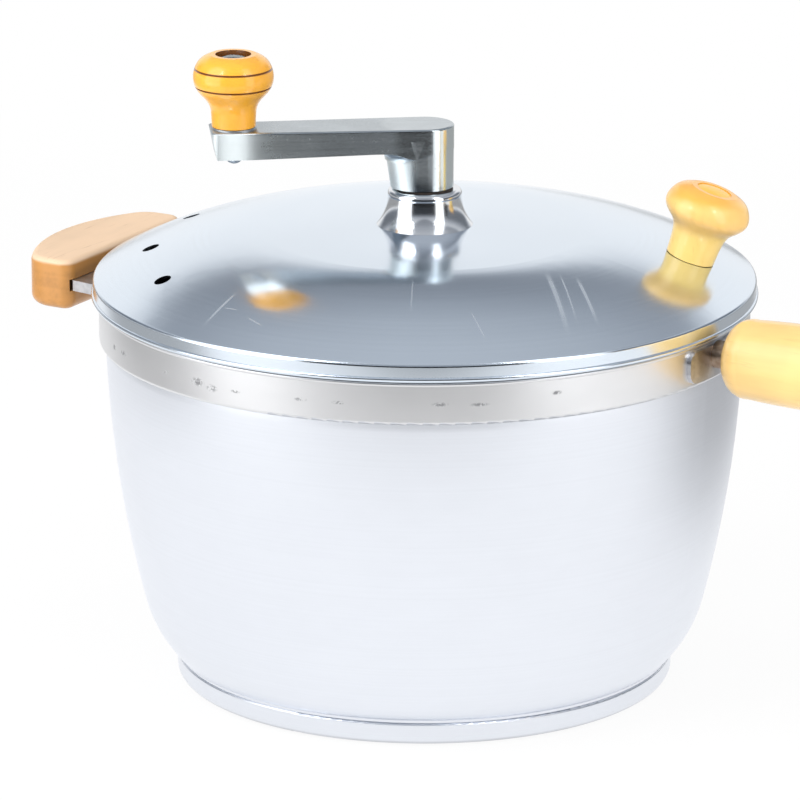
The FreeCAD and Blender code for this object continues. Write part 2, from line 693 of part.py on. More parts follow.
def lid_dome():
    line = lid_outline(LID_TOP)
    line.line(line.at[1] - SKIRT_BOTTOM - LID_BEAD_RADIUS)
    shell = line.sheet(-LID_SHEET)
    bead_centre = LID_RADIUS + LID_BEAD_PROUD - LID_BEAD_RADIUS
    shell = shell.fuse(torus(bead_centre, LID_BEAD_RADIUS, SKIRT_BOTTOM + LID_BEAD_RADIUS))
    shell = shell.cut(ring(0, BUSH_RADIUS, LID_UNDERSIDE - 1, LID_TOP + 1))
    drill = ring(0, VENT_RADIUS, -5 * LID_SHEET, 5 * LID_SHEET)
    for inset, angle in VENTS_INSET_AND_DEG:
        height, slope = on_lid(LID_RADIUS - inset)
        shell = shell.cut(posed(drill, angle, slope, polar(LID_RADIUS - inset, angle, height)))
    screw_hole = ring(0, KNOB_SCREW_RADIUS, -5 * LID_SHEET, 5 * LID_SHEET)
    return shell.cut(stand_on_lid(screw_hole)).removeSplitter()


def lid_solid():
    """Everything below the outside of the lid, used to seat pieces on its curve."""
    line = LID_OUTLINE
    end, top = V(line.at[0], 0, line.at[1]), V(0, 0, LID_TOP)
    foot, axis_foot = V(line.at[0], 0, 0), ORIGIN
    sides = [(end, foot), (foot, axis_foot), (axis_foot, top)]
    return spin(line.edges() + [Part.LineSegment(a, b).toShape() for a, b in sides])


def on_crown(radius):
    """Point of the lid's outside near its middle, in the plane that is spun."""
    return V(radius, 0, on_lid(radius)[0])


def hub_bell():
    """Chromed cover that flares from the crank down onto the lid."""
    foot, waist, top, h, skin = HUB_FOOT_RADIUS, HUB_WAIST_RADIUS, HUB_TOP_RADIUS, HUB_TOP, HUB_SKIN
    flare_width = waist + (foot - waist) * HUB_FLARE_WIDTH_SHARE
    shoulder_width = top + (waist - top) * HUB_SHOULDER_WIDTH_SHARE
    at_waist = V(waist, 0, h - HUB_HEIGHT * HUB_WAIST_BELOW_TOP_SHARE)
    flare_middle = V(flare_width, 0, LID_TOP + HUB_HEIGHT * HUB_FLARE_HEIGHT_SHARE)
    shoulder_middle = V(shoulder_width, 0, h - HUB_HEIGHT * HUB_SHOULDER_DROP_SHARE)
    flare = Part.Arc(on_crown(foot), flare_middle, at_waist).toShape()
    shoulder = Part.Arc(at_waist, shoulder_middle, V(top, 0, h)).toShape()
    rest = [
        (top, h),
        (BUSH_FLANGE_RADIUS, h),
        (BUSH_FLANGE_RADIUS, h - BUSH_FLANGE),
        (BUSH_RADIUS, h - BUSH_FLANGE),
        (BUSH_RADIUS, h - BUSH_FLANGE - skin),
        (waist - skin, h - BUSH_FLANGE - skin),
        (foot - skin, on_crown(foot - skin).z),
    ]
    sides = [Part.LineSegment(V(a, 0, b), V(c, 0, d)).toShape() for (a, b), (c, d) in zip(rest, rest[1:])]
    seat = Part.Arc(on_crown(foot - skin), on_crown(foot - skin / 2), on_crown(foot)).toShape()
    return spin([flare, shoulder, seat] + sides)


def hub_bush():
    bore = SHAFT_RADIUS + RUNNING_GAP
    flange = ring(bore, BUSH_FLANGE_RADIUS, HUB_TOP - BUSH_FLANGE, HUB_TOP)
    sleeve = ring(bore, BUSH_RADIUS, BUSH_BOTTOM, HUB_TOP - BUSH_FLANGE)
    return flange.fuse(sleeve).removeSplitter()


def hub_washer():
    return ring(BUSH_RADIUS, HUB_WASHER_RADIUS, NUT_TOP, NUT_TOP + HUB_WASHER).cut(lid_sheet_only())


def lid_sheet_only():
    """The lid's drawn sheet without its holes, cut from the parts that seat on its curved underside."""
    return lid_outline(LID_TOP).sheet(-LID_SHEET)


def hub_nut():
    blank = hexagon(HUB_NUT_ACROSS_FLATS, NUT_BOTTOM, NUT_TOP)
    bevel = HUB_NUT_ACROSS_FLATS * HUB_NUT_BEVEL_SHARE
    corner = HUB_NUT_ACROSS_FLATS / sqrt(3)
    envelope = turned([
        (0, NUT_BOTTOM),
        (corner - 2 * bevel, NUT_BOTTOM),
        (corner, NUT_BOTTOM + bevel),
        (corner, NUT_TOP),
        (0, NUT_TOP),
    ])
    return blank.common(envelope).cut(ring(0, BUSH_RADIUS, NUT_BOTTOM, NUT_TOP))


def thrust_washer():
    inner = SHAFT_RADIUS + RUNNING_GAP
    return ring(inner, THRUST_WASHER_RADIUS, HUB_TOP, HUB_TOP + THRUST_WASHER)


def turned_knob(neck_radius, cap, under_cap, groove_heights=()):
    """Mushroom knob standing on the origin, with a pocket in its top and burnt grooves at some heights."""
    h, top, neck_top = KNOB_HEIGHT, KNOB_TOP_FLAT_RADIUS, KNOB_NECK_HEIGHT
    def p(radius, share):
        return V(radius, 0, neck_top + (h - neck_top) * share)
    foot, neck_end = V(neck_radius, 0, 0), p(neck_radius + KNOB_NECK_SWELL, 0)
    neck_middle = V(neck_radius + KNOB_NECK_SWELL * KNOB_NECK_MIDDLE_SHARE, 0, neck_top / 2)
    neck = Part.Arc(foot, neck_middle, neck_end)
    flare = Part.BSplineCurve()
    flare.interpolate(
        Points=[
            neck_end,
            p(cap * KNOB_FLARE_WIDTH_SHARE, under_cap - KNOB_FLARE_DROP_SHARE),
            p(cap * KNOB_UNDER_CAP_WIDTH_SHARE, under_cap),
            p(cap, KNOB_WIDEST_HEIGHT_SHARE),
            p(cap * KNOB_SHOULDER_WIDTH_SHARE, KNOB_SHOULDER_HEIGHT_SHARE),
            p(top, 1),
        ],
        InitialTangent=V(KNOB_NECK_SLOPE, 0, 1),
        FinalTangent=V(-1, 0, KNOB_TOP_SLOPE),
    )
    sides = [(p(top, 1), V(0, 0, h)), (V(0, 0, h), ORIGIN), (ORIGIN, foot)]
    edges = [neck.toShape(), flare.toShape()] + [Part.LineSegment(a, b).toShape() for a, b in sides]
    wood = spin(edges)
    for z in groove_heights:
        wood = wood.cut(groove(wood, z))
    return wood.cut(ring(0, KNOB_POCKET_RADIUS, h - KNOB_POCKET_DEPTH, h))


def groove(wood, z):
    """A ring-shaped cutter that bites a little way into the knob at this height."""
    slice_at = wood.slice(UP, z)[0]
    radius = slice_at.BoundBox.XMax
    inner = radius - KNOB_GROOVE_DEPTH
    half = KNOB_GROOVE_WIDTH / 2
    return turned([(inner, z), (radius + 1, z - half * 3), (radius + 1, z + half * 3)])


def lid_knob():
    knob = turned_knob(LID_KNOB_NECK_RADIUS, LID_KNOB_CAP_RADIUS, LID_KNOB_UNDER_CAP)
    pilot = ring(0, KNOB_SCREW_RADIUS, -1, KNOB_SCREW_BITE)
    return stand_on_lid(knob.cut(pilot)).cut(lid_solid())


def lid_knob_plug():
    """Pale wooden plug glued into the pocket of the lid knob, with a slightly domed face."""
    face_edge = KNOB_HEIGHT - KNOB_PLUG_STANDS_PROUD
    low = KNOB_HEIGHT - KNOB_POCKET_DEPTH
    plug = domed_disc(KNOB_POCKET_RADIUS, low, face_edge, KNOB_HEIGHT + KNOB_PLUG_STANDS_PROUD)
    return stand_on_lid(plug)


def lid_knob_screw():
    """Screw from inside the lid up into the knob."""
    head, height = KNOB_SCREW_HEAD_RADIUS, KNOB_SCREW_HEAD_HEIGHT
    head_seat = LID_SHEET + HUB_WASHER * KNOB_SCREW_WASHER_SHARE
    screw = pan_head(head, height, head_seat, KNOB_SCREW_RADIUS, -KNOB_SCREW_BITE)
    upside_down = screw.mirror(ORIGIN, UP)
    return stand_on_lid(upside_down)


def lid_knob_washer():
    low = -LID_SHEET - HUB_WASHER * KNOB_SCREW_WASHER_SHARE
    disc = ring(KNOB_SCREW_RADIUS, KNOB_SCREW_WASHER_RADIUS, low, -LID_SHEET / 2)
    return stand_on_lid(disc).cut(lid_sheet_only())


# Crank and stirrer

def on_crank(shape):
    """Turns a shape built with the crank arm along +X to where the crank stands."""
    return posed(shape, CRANK_DEG)


def stadium(z, stretch, radius):
    """A face with round ends, one centred on the shaft and one this far along the arm."""
    a, b = V(0, -radius, z), V(stretch, -radius, z)
    c, d = V(stretch, radius, z), V(0, radius, z)
    return Part.Wire([
        Part.LineSegment(a, b).toShape(),
        Part.Arc(b, V(stretch + radius, 0, z), c).toShape(),
        Part.LineSegment(c, d).toShape(),
        Part.Arc(d, V(-radius, 0, z), a).toShape(),
    ])


def crank_arm():
    """Cast arm: a tapered flat bar whose round end drops to a boss on the shaft."""
    arm = arm_bar().fuse(arm_boss()).fuse(boss_gusset()).removeSplitter()
    arm = arm.cut(ring(0, SHAFT_RADIUS, BOSS_BOTTOM, SHAFT_TOP))
    arm = arm.cut(ring(0, SPINDLE_RADIUS, 0, ARM_TOP).translated(V(CRANK_REACH, 0, 0)))
    return on_crank(arm.cut(boss_screw_blank()))


def bar_plan(low, height):
    """The bar's outline seen from above, round at the boss and straight at its end, as an upright block."""
    half = ARM_END_WIDTH / 2
    lean = asin((BOSS_RADIUS - half) / ARM_END)
    side_x, side_y = BOSS_RADIUS * sin(lean), BOSS_RADIUS * cos(lean)
    a, b = V(side_x, -side_y, low), V(ARM_END, -half, low)
    c, d = V(ARM_END, half, low), V(side_x, side_y, low)
    straight = [Part.LineSegment(p, q).toShape() for p, q in ((a, b), (b, c), (c, d))]
    plan = Part.Wire(straight + [Part.Arc(d, V(-BOSS_RADIUS, 0, low), a).toShape()])
    return Part.Face(plan).extrude(V(0, 0, height))


def arm_bar():
    """The bar, cut below to a thickness that grows to a flat seat for the rivet and a slanted end."""
    low = RIVET_SEAT
    bar = bar_plan(low, ARM_END_THICKNESS)
    def end_upright(e):
        return e.BoundBox.ZLength > 1 and e.BoundBox.XMin > ARM_END - 0.01
    bar = round_edges(bar, ARM_CORNER_RADIUS, end_upright)
    bar = round_edges(bar, ARM_EDGE_ROUND, at_height(ARM_TOP))
    wide = 2 * BOSS_RADIUS
    side = [
        V(-wide, -wide, ARM_BOTTOM),
        V(-wide, -wide, ARM_TOP + 1),
        V(ARM_END, -wide, ARM_TOP + 1),
        V(ARM_END - ARM_END_DRAFT, -wide, low),
        V(CRANK_REACH - RIVET_SEAT_SPAN * SPINDLE_TAIL_RADIUS, -wide, low),
        V(BOSS_RADIUS + BOSS_STRETCH_TOP + BOSS_FILLET, -wide, ARM_BOTTOM),
    ]
    room = Part.Face(Part.makePolygon(side + side[:1])).extrude(V(0, 2 * wide, 0))
    return bar.common(room)


def arm_boss():
    """Socket for the shaft, drawn out a little along the arm towards its top."""
    foot = stadium(BOSS_BOTTOM, BOSS_STRETCH_FOOT, BOSS_RADIUS - BOSS_TAPER)
    head = stadium(ARM_BOTTOM + ARM_THICKNESS / 2, BOSS_STRETCH_TOP, BOSS_RADIUS - BOSS_INSIDE_BAR)
    return Part.makeLoft([foot, head], True, True)


def boss_gusset():
    """Hollow curve between the front of the boss and the underside of the bar."""
    inner = BOSS_RADIUS - 2 * BOSS_FILLET
    outer = BOSS_RADIUS + BOSS_FILLET
    low = ARM_BOTTOM - BOSS_FILLET
    middle = BOSS_FILLET * (1 - cos(radians(45)))
    wall = BOSS_RADIUS - GUSSET_IN_BOSS
    top = ARM_BOTTOM + ARM_THICKNESS / 2
    a, b, c = V(wall, 0, low), V(outer, 0, ARM_BOTTOM), V(outer, 0, top)
    d, e = V(inner, 0, top), V(inner, 0, low)
    curve = Part.Arc(a, V(wall + middle, 0, ARM_BOTTOM - middle), b)
    sides = ((b, c), (c, d), (d, e), (e, a))
    section = [curve.toShape()] + [Part.LineSegment(p, q).toShape() for p, q in sides]
    solid = Part.Face(Part.Wire(section)).revolve(ORIGIN, UP, 360)
    return solid.translated(V(BOSS_STRETCH_TOP, 0, 0)).common(bar_plan(low, BOSS_FILLET + ARM_THICKNESS / 2))


def boss_screw_blank():
    """The clamping screw's place in the boss, square to the arm and out of sight behind it."""
    length = BOSS_RADIUS - SHAFT_RADIUS
    blank = rod(SET_SCREW_RADIUS, ORIGIN, ALONG_X, length + 1)
    return posed(blank, -90, 0, V(0, -SHAFT_RADIUS, BOSS_BOTTOM + BOSS_DROP * 0.5))


def crank_screw():
    length = BOSS_RADIUS - SHAFT_RADIUS - 0.6
    screw = posed(socket_screw(length), -90, 0, V(0, -SHAFT_RADIUS, BOSS_BOTTOM + BOSS_DROP * 0.5))
    return on_crank(screw)


def drive_shaft():
    r, c = SHAFT_RADIUS, SHAFT_CHAMFER
    return turned([
        (0, SHAFT_FOOT),
        (r - c, SHAFT_FOOT),
        (r, SHAFT_FOOT + c),
        (r, SHAFT_TOP - c),
        (r - c, SHAFT_TOP),
        (0, SHAFT_TOP),
    ])


def shaft_collar():
    """Ring that keeps the shaft up in the lid when the lid is lifted."""
    collar = ring(SHAFT_RADIUS, COLLAR_RADIUS, COLLAR_TOP - COLLAR_HEIGHT, COLLAR_TOP)
    hole = rod(SET_SCREW_RADIUS, V(0, 0, COLLAR_TOP - COLLAR_HEIGHT / 2), ALONG_X, BIG)
    return collar.cut(hole)


def collar_screw():
    screw = socket_screw(COLLAR_RADIUS - SHAFT_RADIUS - 0.3)
    return posed(screw, 0, 0, V(SHAFT_RADIUS, 0, COLLAR_TOP - COLLAR_HEIGHT / 2))


def stirrer_wire(reach, z):
    """One wire through the hub: each half runs out, sweeps back and turns up at its tip."""
    return half_wire(reach, z, 0).fuse(half_wire(reach, z, 180)).removeSplitter()


def half_wire(reach, z, turn_deg):
    sweep, rise = radians(WIRE_SWEEP_DEG), radians(WIRE_TIP_RISE_DEG)
    bend = WIRE_BEND_RADIUS
    start = min(WIRE_STRAIGHT, reach * 0.45)
    tip_run = (bend * sin(rise) + WIRE_TIP_LENGTH * cos(rise))
    swept = solve_run(reach - tip_run * 0.9, start, bend, sweep)
    a = V(0, 0, z)
    b = V(start, 0, z)
    c = b + V(bend * sin(sweep), -bend * (1 - cos(sweep)), 0)
    bc = b + V(bend * sin(sweep / 2), -bend * (1 - cos(sweep / 2)), 0)
    along = V(cos(sweep), -sin(sweep), 0)
    d = c + along * swept
    e = d + along * (bend * sin(rise)) + UP * (bend * (1 - cos(rise)))
    de = d + along * (bend * sin(rise / 2)) + UP * (bend * (1 - cos(rise / 2)))
    f = e + (along * cos(rise) + UP * sin(rise)) * WIRE_TIP_LENGTH
    path = Part.Wire([
        Part.LineSegment(a, b).toShape(),
        Part.Arc(b, bc, c).toShape(),
        Part.LineSegment(c, d).toShape(),
        Part.Arc(d, de, e).toShape(),
        Part.LineSegment(e, f).toShape(),
    ])
    section = Part.Wire([Part.makeCircle(STIRRER_WIRE_RADIUS, a, ALONG_X)])
    wire = path.makePipeShell([section], True, False)
    return posed(wire, turn_deg)


def solve_run(reach, start, bend, sweep):
    """Length of the swept run that brings its end out to this radius."""
    x0, y0 = start + bend * sin(sweep), -bend * (1 - cos(sweep))
    b = x0 * cos(sweep) - y0 * sin(sweep)
    c = x0 ** 2 + y0 ** 2 - reach ** 2
    return -b + sqrt(b ** 2 - c)


def long_wire_blank():
    return posed(stirrer_wire(STIRRER_REACH, LONG_WIRE_Z), STIRRER_DEG)


def short_wire_blank():
    return posed(stirrer_wire(STIRRER_REACH * SHORT_WIRE_SHARE, SHORT_WIRE_Z), STIRRER_DEG + 90)


def stirrer_hub():
    hub = Part.makeCylinder(STIRRER_HUB_RADIUS, STIRRER_HUB_HEIGHT, V(0, 0, HUB_FOOT))
    hub = round_edges(hub, STIRRER_HUB_ROUND, at_height(STIRRER_HUB_TOP))
    hub = hub.cut(ring(0, SHAFT_RADIUS, SHAFT_FOOT, STIRRER_HUB_TOP))
    hub = hub.cut(long_wire_blank()).cut(short_wire_blank())
    hole = rod(SET_SCREW_RADIUS, V(0, 0, stirrer_screw_z()), ALONG_X, BIG)
    return hub.cut(posed(hole, STIRRER_DEG + 45))


def stirrer_screw_z():
    return STIRRER_HUB_TOP - SHAFT_IN_HUB / 2


def stirrer_screw():
    screw = socket_screw(STIRRER_HUB_RADIUS - SHAFT_RADIUS - 0.3)
    screw.translate(V(SHAFT_RADIUS, 0, stirrer_screw_z()))
    return posed(screw, STIRRER_DEG + 45)


# Crank knob

def at_knob(shape):
    return on_crank(shape.translated(V(CRANK_REACH, 0, 0)))


def crank_knob():
    neck, cap = CRANK_KNOB_NECK_RADIUS, CRANK_KNOB_CAP_RADIUS
    knob = turned_knob(neck, cap, CRANK_KNOB_UNDER_CAP, KNOB_GROOVE_HEIGHTS)
    knob = knob.cut(ring(0, SPINDLE_RADIUS + RUNNING_GAP, -1, KNOB_HEIGHT))
    return at_knob(knob.translated(V(0, 0, KNOB_BOTTOM)))


def knob_washer():
    return at_knob(ring(SPINDLE_RADIUS, KNOB_WASHER_RADIUS, ARM_TOP, ARM_TOP + KNOB_WASHER))


def knob_spindle():
    """Rivet on which the crank knob turns: a domed head in the pocket and a tail under the arm."""
    seat = KNOB_BOTTOM + KNOB_HEIGHT - KNOB_POCKET_DEPTH + AXIAL_GAP
    head = pan_head(SPINDLE_HEAD_RADIUS, SPINDLE_HEAD_HEIGHT, seat, SPINDLE_RADIUS, RIVET_SEAT)
    tail = Part.makeSphere(SPINDLE_TAIL_RADIUS, ORIGIN, UP, -90, 0, 360)
    squash = FreeCAD.Matrix()
    squash.scale(1, 1, SPINDLE_TAIL_HEIGHT / SPINDLE_TAIL_RADIUS)
    tail = tail.transformGeometry(squash)
    return at_knob(head.fuse(tail.translated(V(0, 0, RIVET_SEAT))))


NODES = {
    "base_disc": base_disc,
    "pot_shell": pot_shell,
    "rim_band": rim_band,
    "handle_saddle": handle_saddle,
    "handle_ferrule": handle_ferrule,
    "long_handle": long_handle,
    "handle_washer": handle_washer,
    "handle_bolt": handle_bolt,
    "side_plate": side_plate,
    "side_grip": side_grip,
    "side_grip_screws": grip_screws,
    "lid_dome": lid_dome,
    "hub_bell": hub_bell,
    "hub_bush": hub_bush,
    "hub_washer": hub_washer,
    "hub_nut": hub_nut,
    "thrust_washer": thrust_washer,
    "lid_knob": lid_knob,
    "lid_knob_plug": lid_knob_plug,
    "lid_knob_screw": lid_knob_screw,
    "lid_knob_washer": lid_knob_washer,
    "crank_arm": crank_arm,
    "crank_screw": crank_screw,
    "drive_shaft": drive_shaft,
    "shaft_collar": shaft_collar,
    "collar_screw": collar_screw,
    "stirrer_hub": stirrer_hub,
    "stirrer_screw": stirrer_screw,
    "stirrer_wire_long": long_wire_blank,
    "stirrer_wire_short": short_wire_blank,
    "knob_spindle": knob_spindle,
    "knob_washer": knob_washer,
    "crank_knob": crank_knob,
}


def main():
    os.makedirs("parts", exist_ok=True)
    for name, build in NODES.items():
        made = build()
        solids = [s for piece in (made if isinstance(made, list) else [made]) for s in piece.Solids]
        shape = solids[0] if len(solids) == 1 else Part.makeCompound(solids)
        volume = sum(s.Volume for s in solids)
        print(f"{name}: {len(solids)} solid(s), {volume:.0f} mm3, valid {shape.isValid()}")
        shape.exportStep(f"parts/{name}.step")


main()
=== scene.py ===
"""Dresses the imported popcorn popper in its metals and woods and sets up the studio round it.

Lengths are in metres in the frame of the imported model: the origin is the middle of the base, on the
stove, +Z is up and +X points along the long handle.
"""

from math import cos, degrees, radians, sin

import bmesh
import bpy
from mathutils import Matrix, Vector


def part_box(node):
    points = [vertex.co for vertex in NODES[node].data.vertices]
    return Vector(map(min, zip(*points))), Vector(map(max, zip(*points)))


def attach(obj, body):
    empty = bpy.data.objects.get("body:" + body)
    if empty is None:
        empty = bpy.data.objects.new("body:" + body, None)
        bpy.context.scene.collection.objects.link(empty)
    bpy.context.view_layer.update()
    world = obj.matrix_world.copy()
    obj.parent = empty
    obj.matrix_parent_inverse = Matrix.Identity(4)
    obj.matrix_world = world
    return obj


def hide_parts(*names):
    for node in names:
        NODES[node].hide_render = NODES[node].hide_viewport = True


bl_info = {
    "name": "Popcorn Popper Dressing",
    "version": (1, 0, 0),
    "blender": (4, 5, 0),
    "location": "3D View > Sidebar > Popper",
    "description": "Gives the popper's metals, woods and trim their finish and sets up the studio",
    "category": "Object",
}

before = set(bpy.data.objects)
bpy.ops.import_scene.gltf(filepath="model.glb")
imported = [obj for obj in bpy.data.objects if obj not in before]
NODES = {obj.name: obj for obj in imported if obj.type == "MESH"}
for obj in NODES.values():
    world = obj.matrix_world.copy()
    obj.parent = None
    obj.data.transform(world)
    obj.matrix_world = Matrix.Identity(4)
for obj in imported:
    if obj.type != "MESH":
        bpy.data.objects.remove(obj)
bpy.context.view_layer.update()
MM = 0.001
CRANK_TURN = radians(216.0)
BURNT_RING_HEIGHTS = (14.6, 21.1)
RIVET_TAIL_IN_NODE = 1.6

# Middle radius, wire radius and height of the rolled edges, in mm
BAND_BEAD = (117.62, 0.85, 141.2)
LID_BEAD = (119.62, 0.95, 143.4)

# Radius and height of the outline of the seam between wall and base disc, in mm
FOOT_SEAM = ((88.0, 8.3), (90.0, 8.42), (90.12, 8.7), (90.12, 9.2), (90.2, 9.52), (88.0, 8.9))

# How fine the wood's growth lines are across the grain, and how long they run along it
GRAIN_FINENESS = 0.16
ALONG_GRAIN_SCALE = 7.0

# The camera's frame: its width in pixels, the pixel that the pot's axis meets and the height looked at
PICTURE_WIDTH = 800
AXIS_PIXEL = (424.5, 483.2)
LOOK_AT_HEIGHT = 0.070


def rgb(red, green, blue):
    """A colour read as 0 to 255 on a screen, as the linear colour that shaders take."""
    def linear(value):
        value /= 255
        return value / 12.92 if value <= 0.04045 else ((value + 0.055) / 1.055) ** 2.4
    return (linear(red), linear(green), linear(blue), 1.0)


# Shader maths

class Value:
    """A number that varies over the surface: arithmetic on it adds the nodes for it."""

    def __init__(self, finish, socket):
        self.finish = finish
        self.socket = socket

    def _math(self, operation, *others):
        inputs = dict(enumerate((self,) + others))
        return self.finish.node("ShaderNodeMath", {"operation": operation}, inputs)["Value"]

    def __add__(self, other):
        return self._math("ADD", other)

    __radd__ = __add__

    def __mul__(self, other):
        return self._math("MULTIPLY", other)

    __rmul__ = __mul__

    def __sub__(self, other):
        return self._math("SUBTRACT", other)

    def __rsub__(self, other):
        return (self * -1.0) + other

    def __pow__(self, other):
        return self._math("POWER", other)

    def __abs__(self):
        return self._math("ABSOLUTE")

    def least(self, other):
        return self._math("MINIMUM", other)

    def most(self, other):
        return self._math("MAXIMUM", other)

    def ramp(self, low, high):
        """0 at low and 1 at high, with a soft start and end."""
        inputs = {"Value": self, "From Min": low, "From Max": high}
        settings = {"interpolation_type": "SMOOTHSTEP"}
        return self.finish.node("ShaderNodeMapRange", settings, inputs)["Result"]


class Made:
    """A node that has been added, whose outputs are read by name."""

    def __init__(self, finish, node):
        self.finish = finish
        self.node = node

    def __getitem__(self, name):
        return Value(self.finish, self.node.outputs[name])


class Finish:
    """A material, or the world, with the nodes that make its look."""

    def __init__(self, owner):
        owner.use_nodes = True
        self.owner = owner
        self.tree = owner.node_tree
        self.tree.nodes.clear()

    def node(self, kind, settings=None, inputs=None):
        made = self.tree.nodes.new(kind)
        for name, setting in (settings or {}).items():
            setattr(made, name, setting)
        for name, value in (inputs or {}).items():
            if isinstance(value, Value):
                self.tree.links.new(value.socket, made.inputs[name])
            else:
                made.inputs[name].default_value = value
        return Made(self, made)

    def place(self):
        """Where the point is on the resting object, in metres."""
        return self.node("ShaderNodeTexCoord")["Object"]

    def split(self, vector):
        parts = self.node("ShaderNodeSeparateXYZ", None, {0: vector})
        return parts["X"], parts["Y"], parts["Z"]

    def join(self, x, y, z):
        return self.node("ShaderNodeCombineXYZ", None, {0: x, 1: y, 2: z})["Vector"]

    def noise(self, vector, scale, detail=3.0, rough=0.55):
        inputs = {"Vector": vector, "Scale": scale, "Detail": detail, "Roughness": rough}
        return self.node("ShaderNodeTexNoise", None, inputs)["Fac"]

    def cells(self, vector, scale):
        return self.node("ShaderNodeTexVoronoi", None, {"Vector": vector, "Scale": scale})["Distance"]

    def blend(self, share, first, second):
        """The first colour where the share is 0 and the second where it is 1."""
        inputs = {0: share, 6: first, 7: second}
        return self.node("ShaderNodeMix", {"data_type": "RGBA"}, inputs)[2]

    def bump(self, height, strength, distance):
        inputs = {"Height": height, "Strength": strength, "Distance": distance}
        return self.node("ShaderNodeBump", None, inputs)["Normal"]

    def surface(self, **inputs):
        """The main shader: names of its sockets are written with _ for a space."""
        sockets = {name.replace("_", " "): value for name, value in inputs.items()}
        shader = self.node("ShaderNodeBsdfPrincipled", None, sockets)
        self.node("ShaderNodeOutputMaterial", None, {"Surface": shader["BSDF"]})


def new_finish(name):
    return Finish(bpy.data.materials.new(name))


def dress(finish, *nodes):
    for name in nodes:
        slots = NODES[name].data.materials
        slots.clear()
        slots.append(finish.owner)


def stretch(finish, vector, x, y, z):
    """The place with each direction multiplied, which draws a pattern out along the small ones."""
    inputs = {0: vector, 1: (x, y, z)}
    return finish.node("ShaderNodeVectorMath", {"operation": "MULTIPLY"}, inputs)["Vector"]


def shifted(finish, vector, x, y, z):
    """The place measured from another point."""
    inputs = {0: vector, 1: (x, y, z)}
    return finish.node("ShaderNodeVectorMath", {"operation": "SUBTRACT"}, inputs)["Vector"]


def around_axis(finish):
    """Distance from the pot's upright axis, height and direction in radians of each point."""
    x, y, z = finish.split(finish.place())
    radius = (x * x + y * y) ** 0.5
    direction = finish.node("ShaderNodeMath", {"operation": "ARCTAN2"}, {0: y, 1: x})["Value"]
    return radius, z, direction


def lathe_rings(finish, across, scale):
    """Fine rings left by turning or spinning, the same all the way round."""
    return finish.noise(finish.join(across, 0.0, 0.0), scale, 4.0, 0.7)


def marks(place, radius, places):
    """Smudges on an upright round wall: direction in degrees, height, width and depth in mm."""
    x, y, z = place
    total = None
    for angle, height, width, depth in places:
        over = x - cos(radians(angle)) * radius
        back = y - sin(radians(angle)) * radius
        along = (over * over + back * back) ** 0.5 * (1 / (width * MM))
        up = abs(z - height * MM) * (1 / (depth * MM))
        dot = 1 - ((along * along + up * up) ** 0.5).ramp(0.25, 1.0)
        total = dot if total is None else total.most(dot)
    return total


def streaks(place, lines):
    """Thin straight scratches seen from above: two ends and a width in mm."""
    x, y = place[:2]
    total = None
    for start, end, width in lines:
        line = Vector(end) - Vector(start)
        length = line.length * MM
        unit = line.normalized()
        over = x - start[0] * MM
        back = y - start[1] * MM
        along = over * unit.x + back * unit.y
        across = abs(back * unit.x - over * unit.y)
        run = along.ramp(0.0, length * 0.3) * (1 - along.ramp(length * 0.6, length))
        scratch = (1 - across.ramp(width * 0.2 * MM, width * MM)) * run
        total = scratch if total is None else total.most(scratch)
    return total


def lathe(name, outline, axis, body, finish, closed=False, turns=64):
    """A turned piece: an outline of radius and height in mm, spun about an upright axis in metres."""
    mesh = bmesh.new()
    rings = []
    for step in range(turns):
        way = radians(360.0 * step / turns)
        across, back = cos(way) * MM, sin(way) * MM
        rings.append([mesh.verts.new((across * r, back * r, z * MM)) for r, z in outline])
    count = len(outline) if closed else len(outline) - 1
    for step, ring in enumerate(rings):
        following = rings[(step + 1) % turns]
        for k in range(count):
            m = (k + 1) % len(outline)
            mesh.faces.new((ring[k], following[k], following[m], ring[m]))
    bmesh.ops.remove_doubles(mesh, verts=mesh.verts, dist=1e-7)
    bmesh.ops.recalc_face_normals(mesh, faces=mesh.faces)
    data = bpy.data.meshes.new(name)
    mesh.to_mesh(data)
    mesh.free()
    data.shade_smooth()
    data.set_sharp_from_angle(angle=radians(40))
    data.materials.append(finish.owner)
    made = bpy.data.objects.new(name, data)
    bpy.context.scene.collection.objects.link(made)
    made.location = axis
    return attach(made, body)


def arc_points(centre, radius, start_deg, end_deg, count):
    """Points of an outline along an arc, in mm."""
    steps = [radians(start_deg + (end_deg - start_deg) * k / (count - 1)) for k in range(count)]
    return [(centre[0] + radius * cos(a), centre[1] + radius * sin(a)) for a in steps]


def rolled_edge(name, middle_radius, wire_radius, height, body, slot, finish):
    """The bead along an edge as a fine smooth ring, a hair proud of the plain one under it."""
    outline = arc_points((middle_radius, height), wire_radius, 0, 345, 24)
    return lathe(name, outline, (0, 0, 0), body, finish, closed=True, turns=720)


# Sizes and colours that a user would change

def colour(name, description, value):
    return bpy.props.FloatVectorProperty(
        name=name, description=description, subtype="COLOR", size=4, min=0, max=1, default=value
    )


class PopperSizes(bpy.types.PropertyGroup):
    grain: bpy.props.FloatProperty(
        name="Wood grain",
        description="Distance between growth lines in the wood",
        default=0.0016,
        unit="LENGTH",
    )
    camera_distance: bpy.props.FloatProperty(
        name="Camera distance",
        description="From the middle of the pot to the camera",
        default=2.4,
        unit="LENGTH",
    )
    camera_lens: bpy.props.FloatProperty(
        name="Camera lens",
        description="Focal length in mm on a 36 mm wide picture",
        default=295.96,
        unit="CAMERA",
    )
    camera_turn: bpy.props.FloatProperty(
        name="Camera turn",
        description="How far the camera stands round from the front",
        default=radians(30.0),
        subtype="ANGLE",
    )
    camera_height: bpy.props.FloatProperty(
        name="Camera pitch", description="How far down the camera looks", default=0.295, subtype="ANGLE"
    )


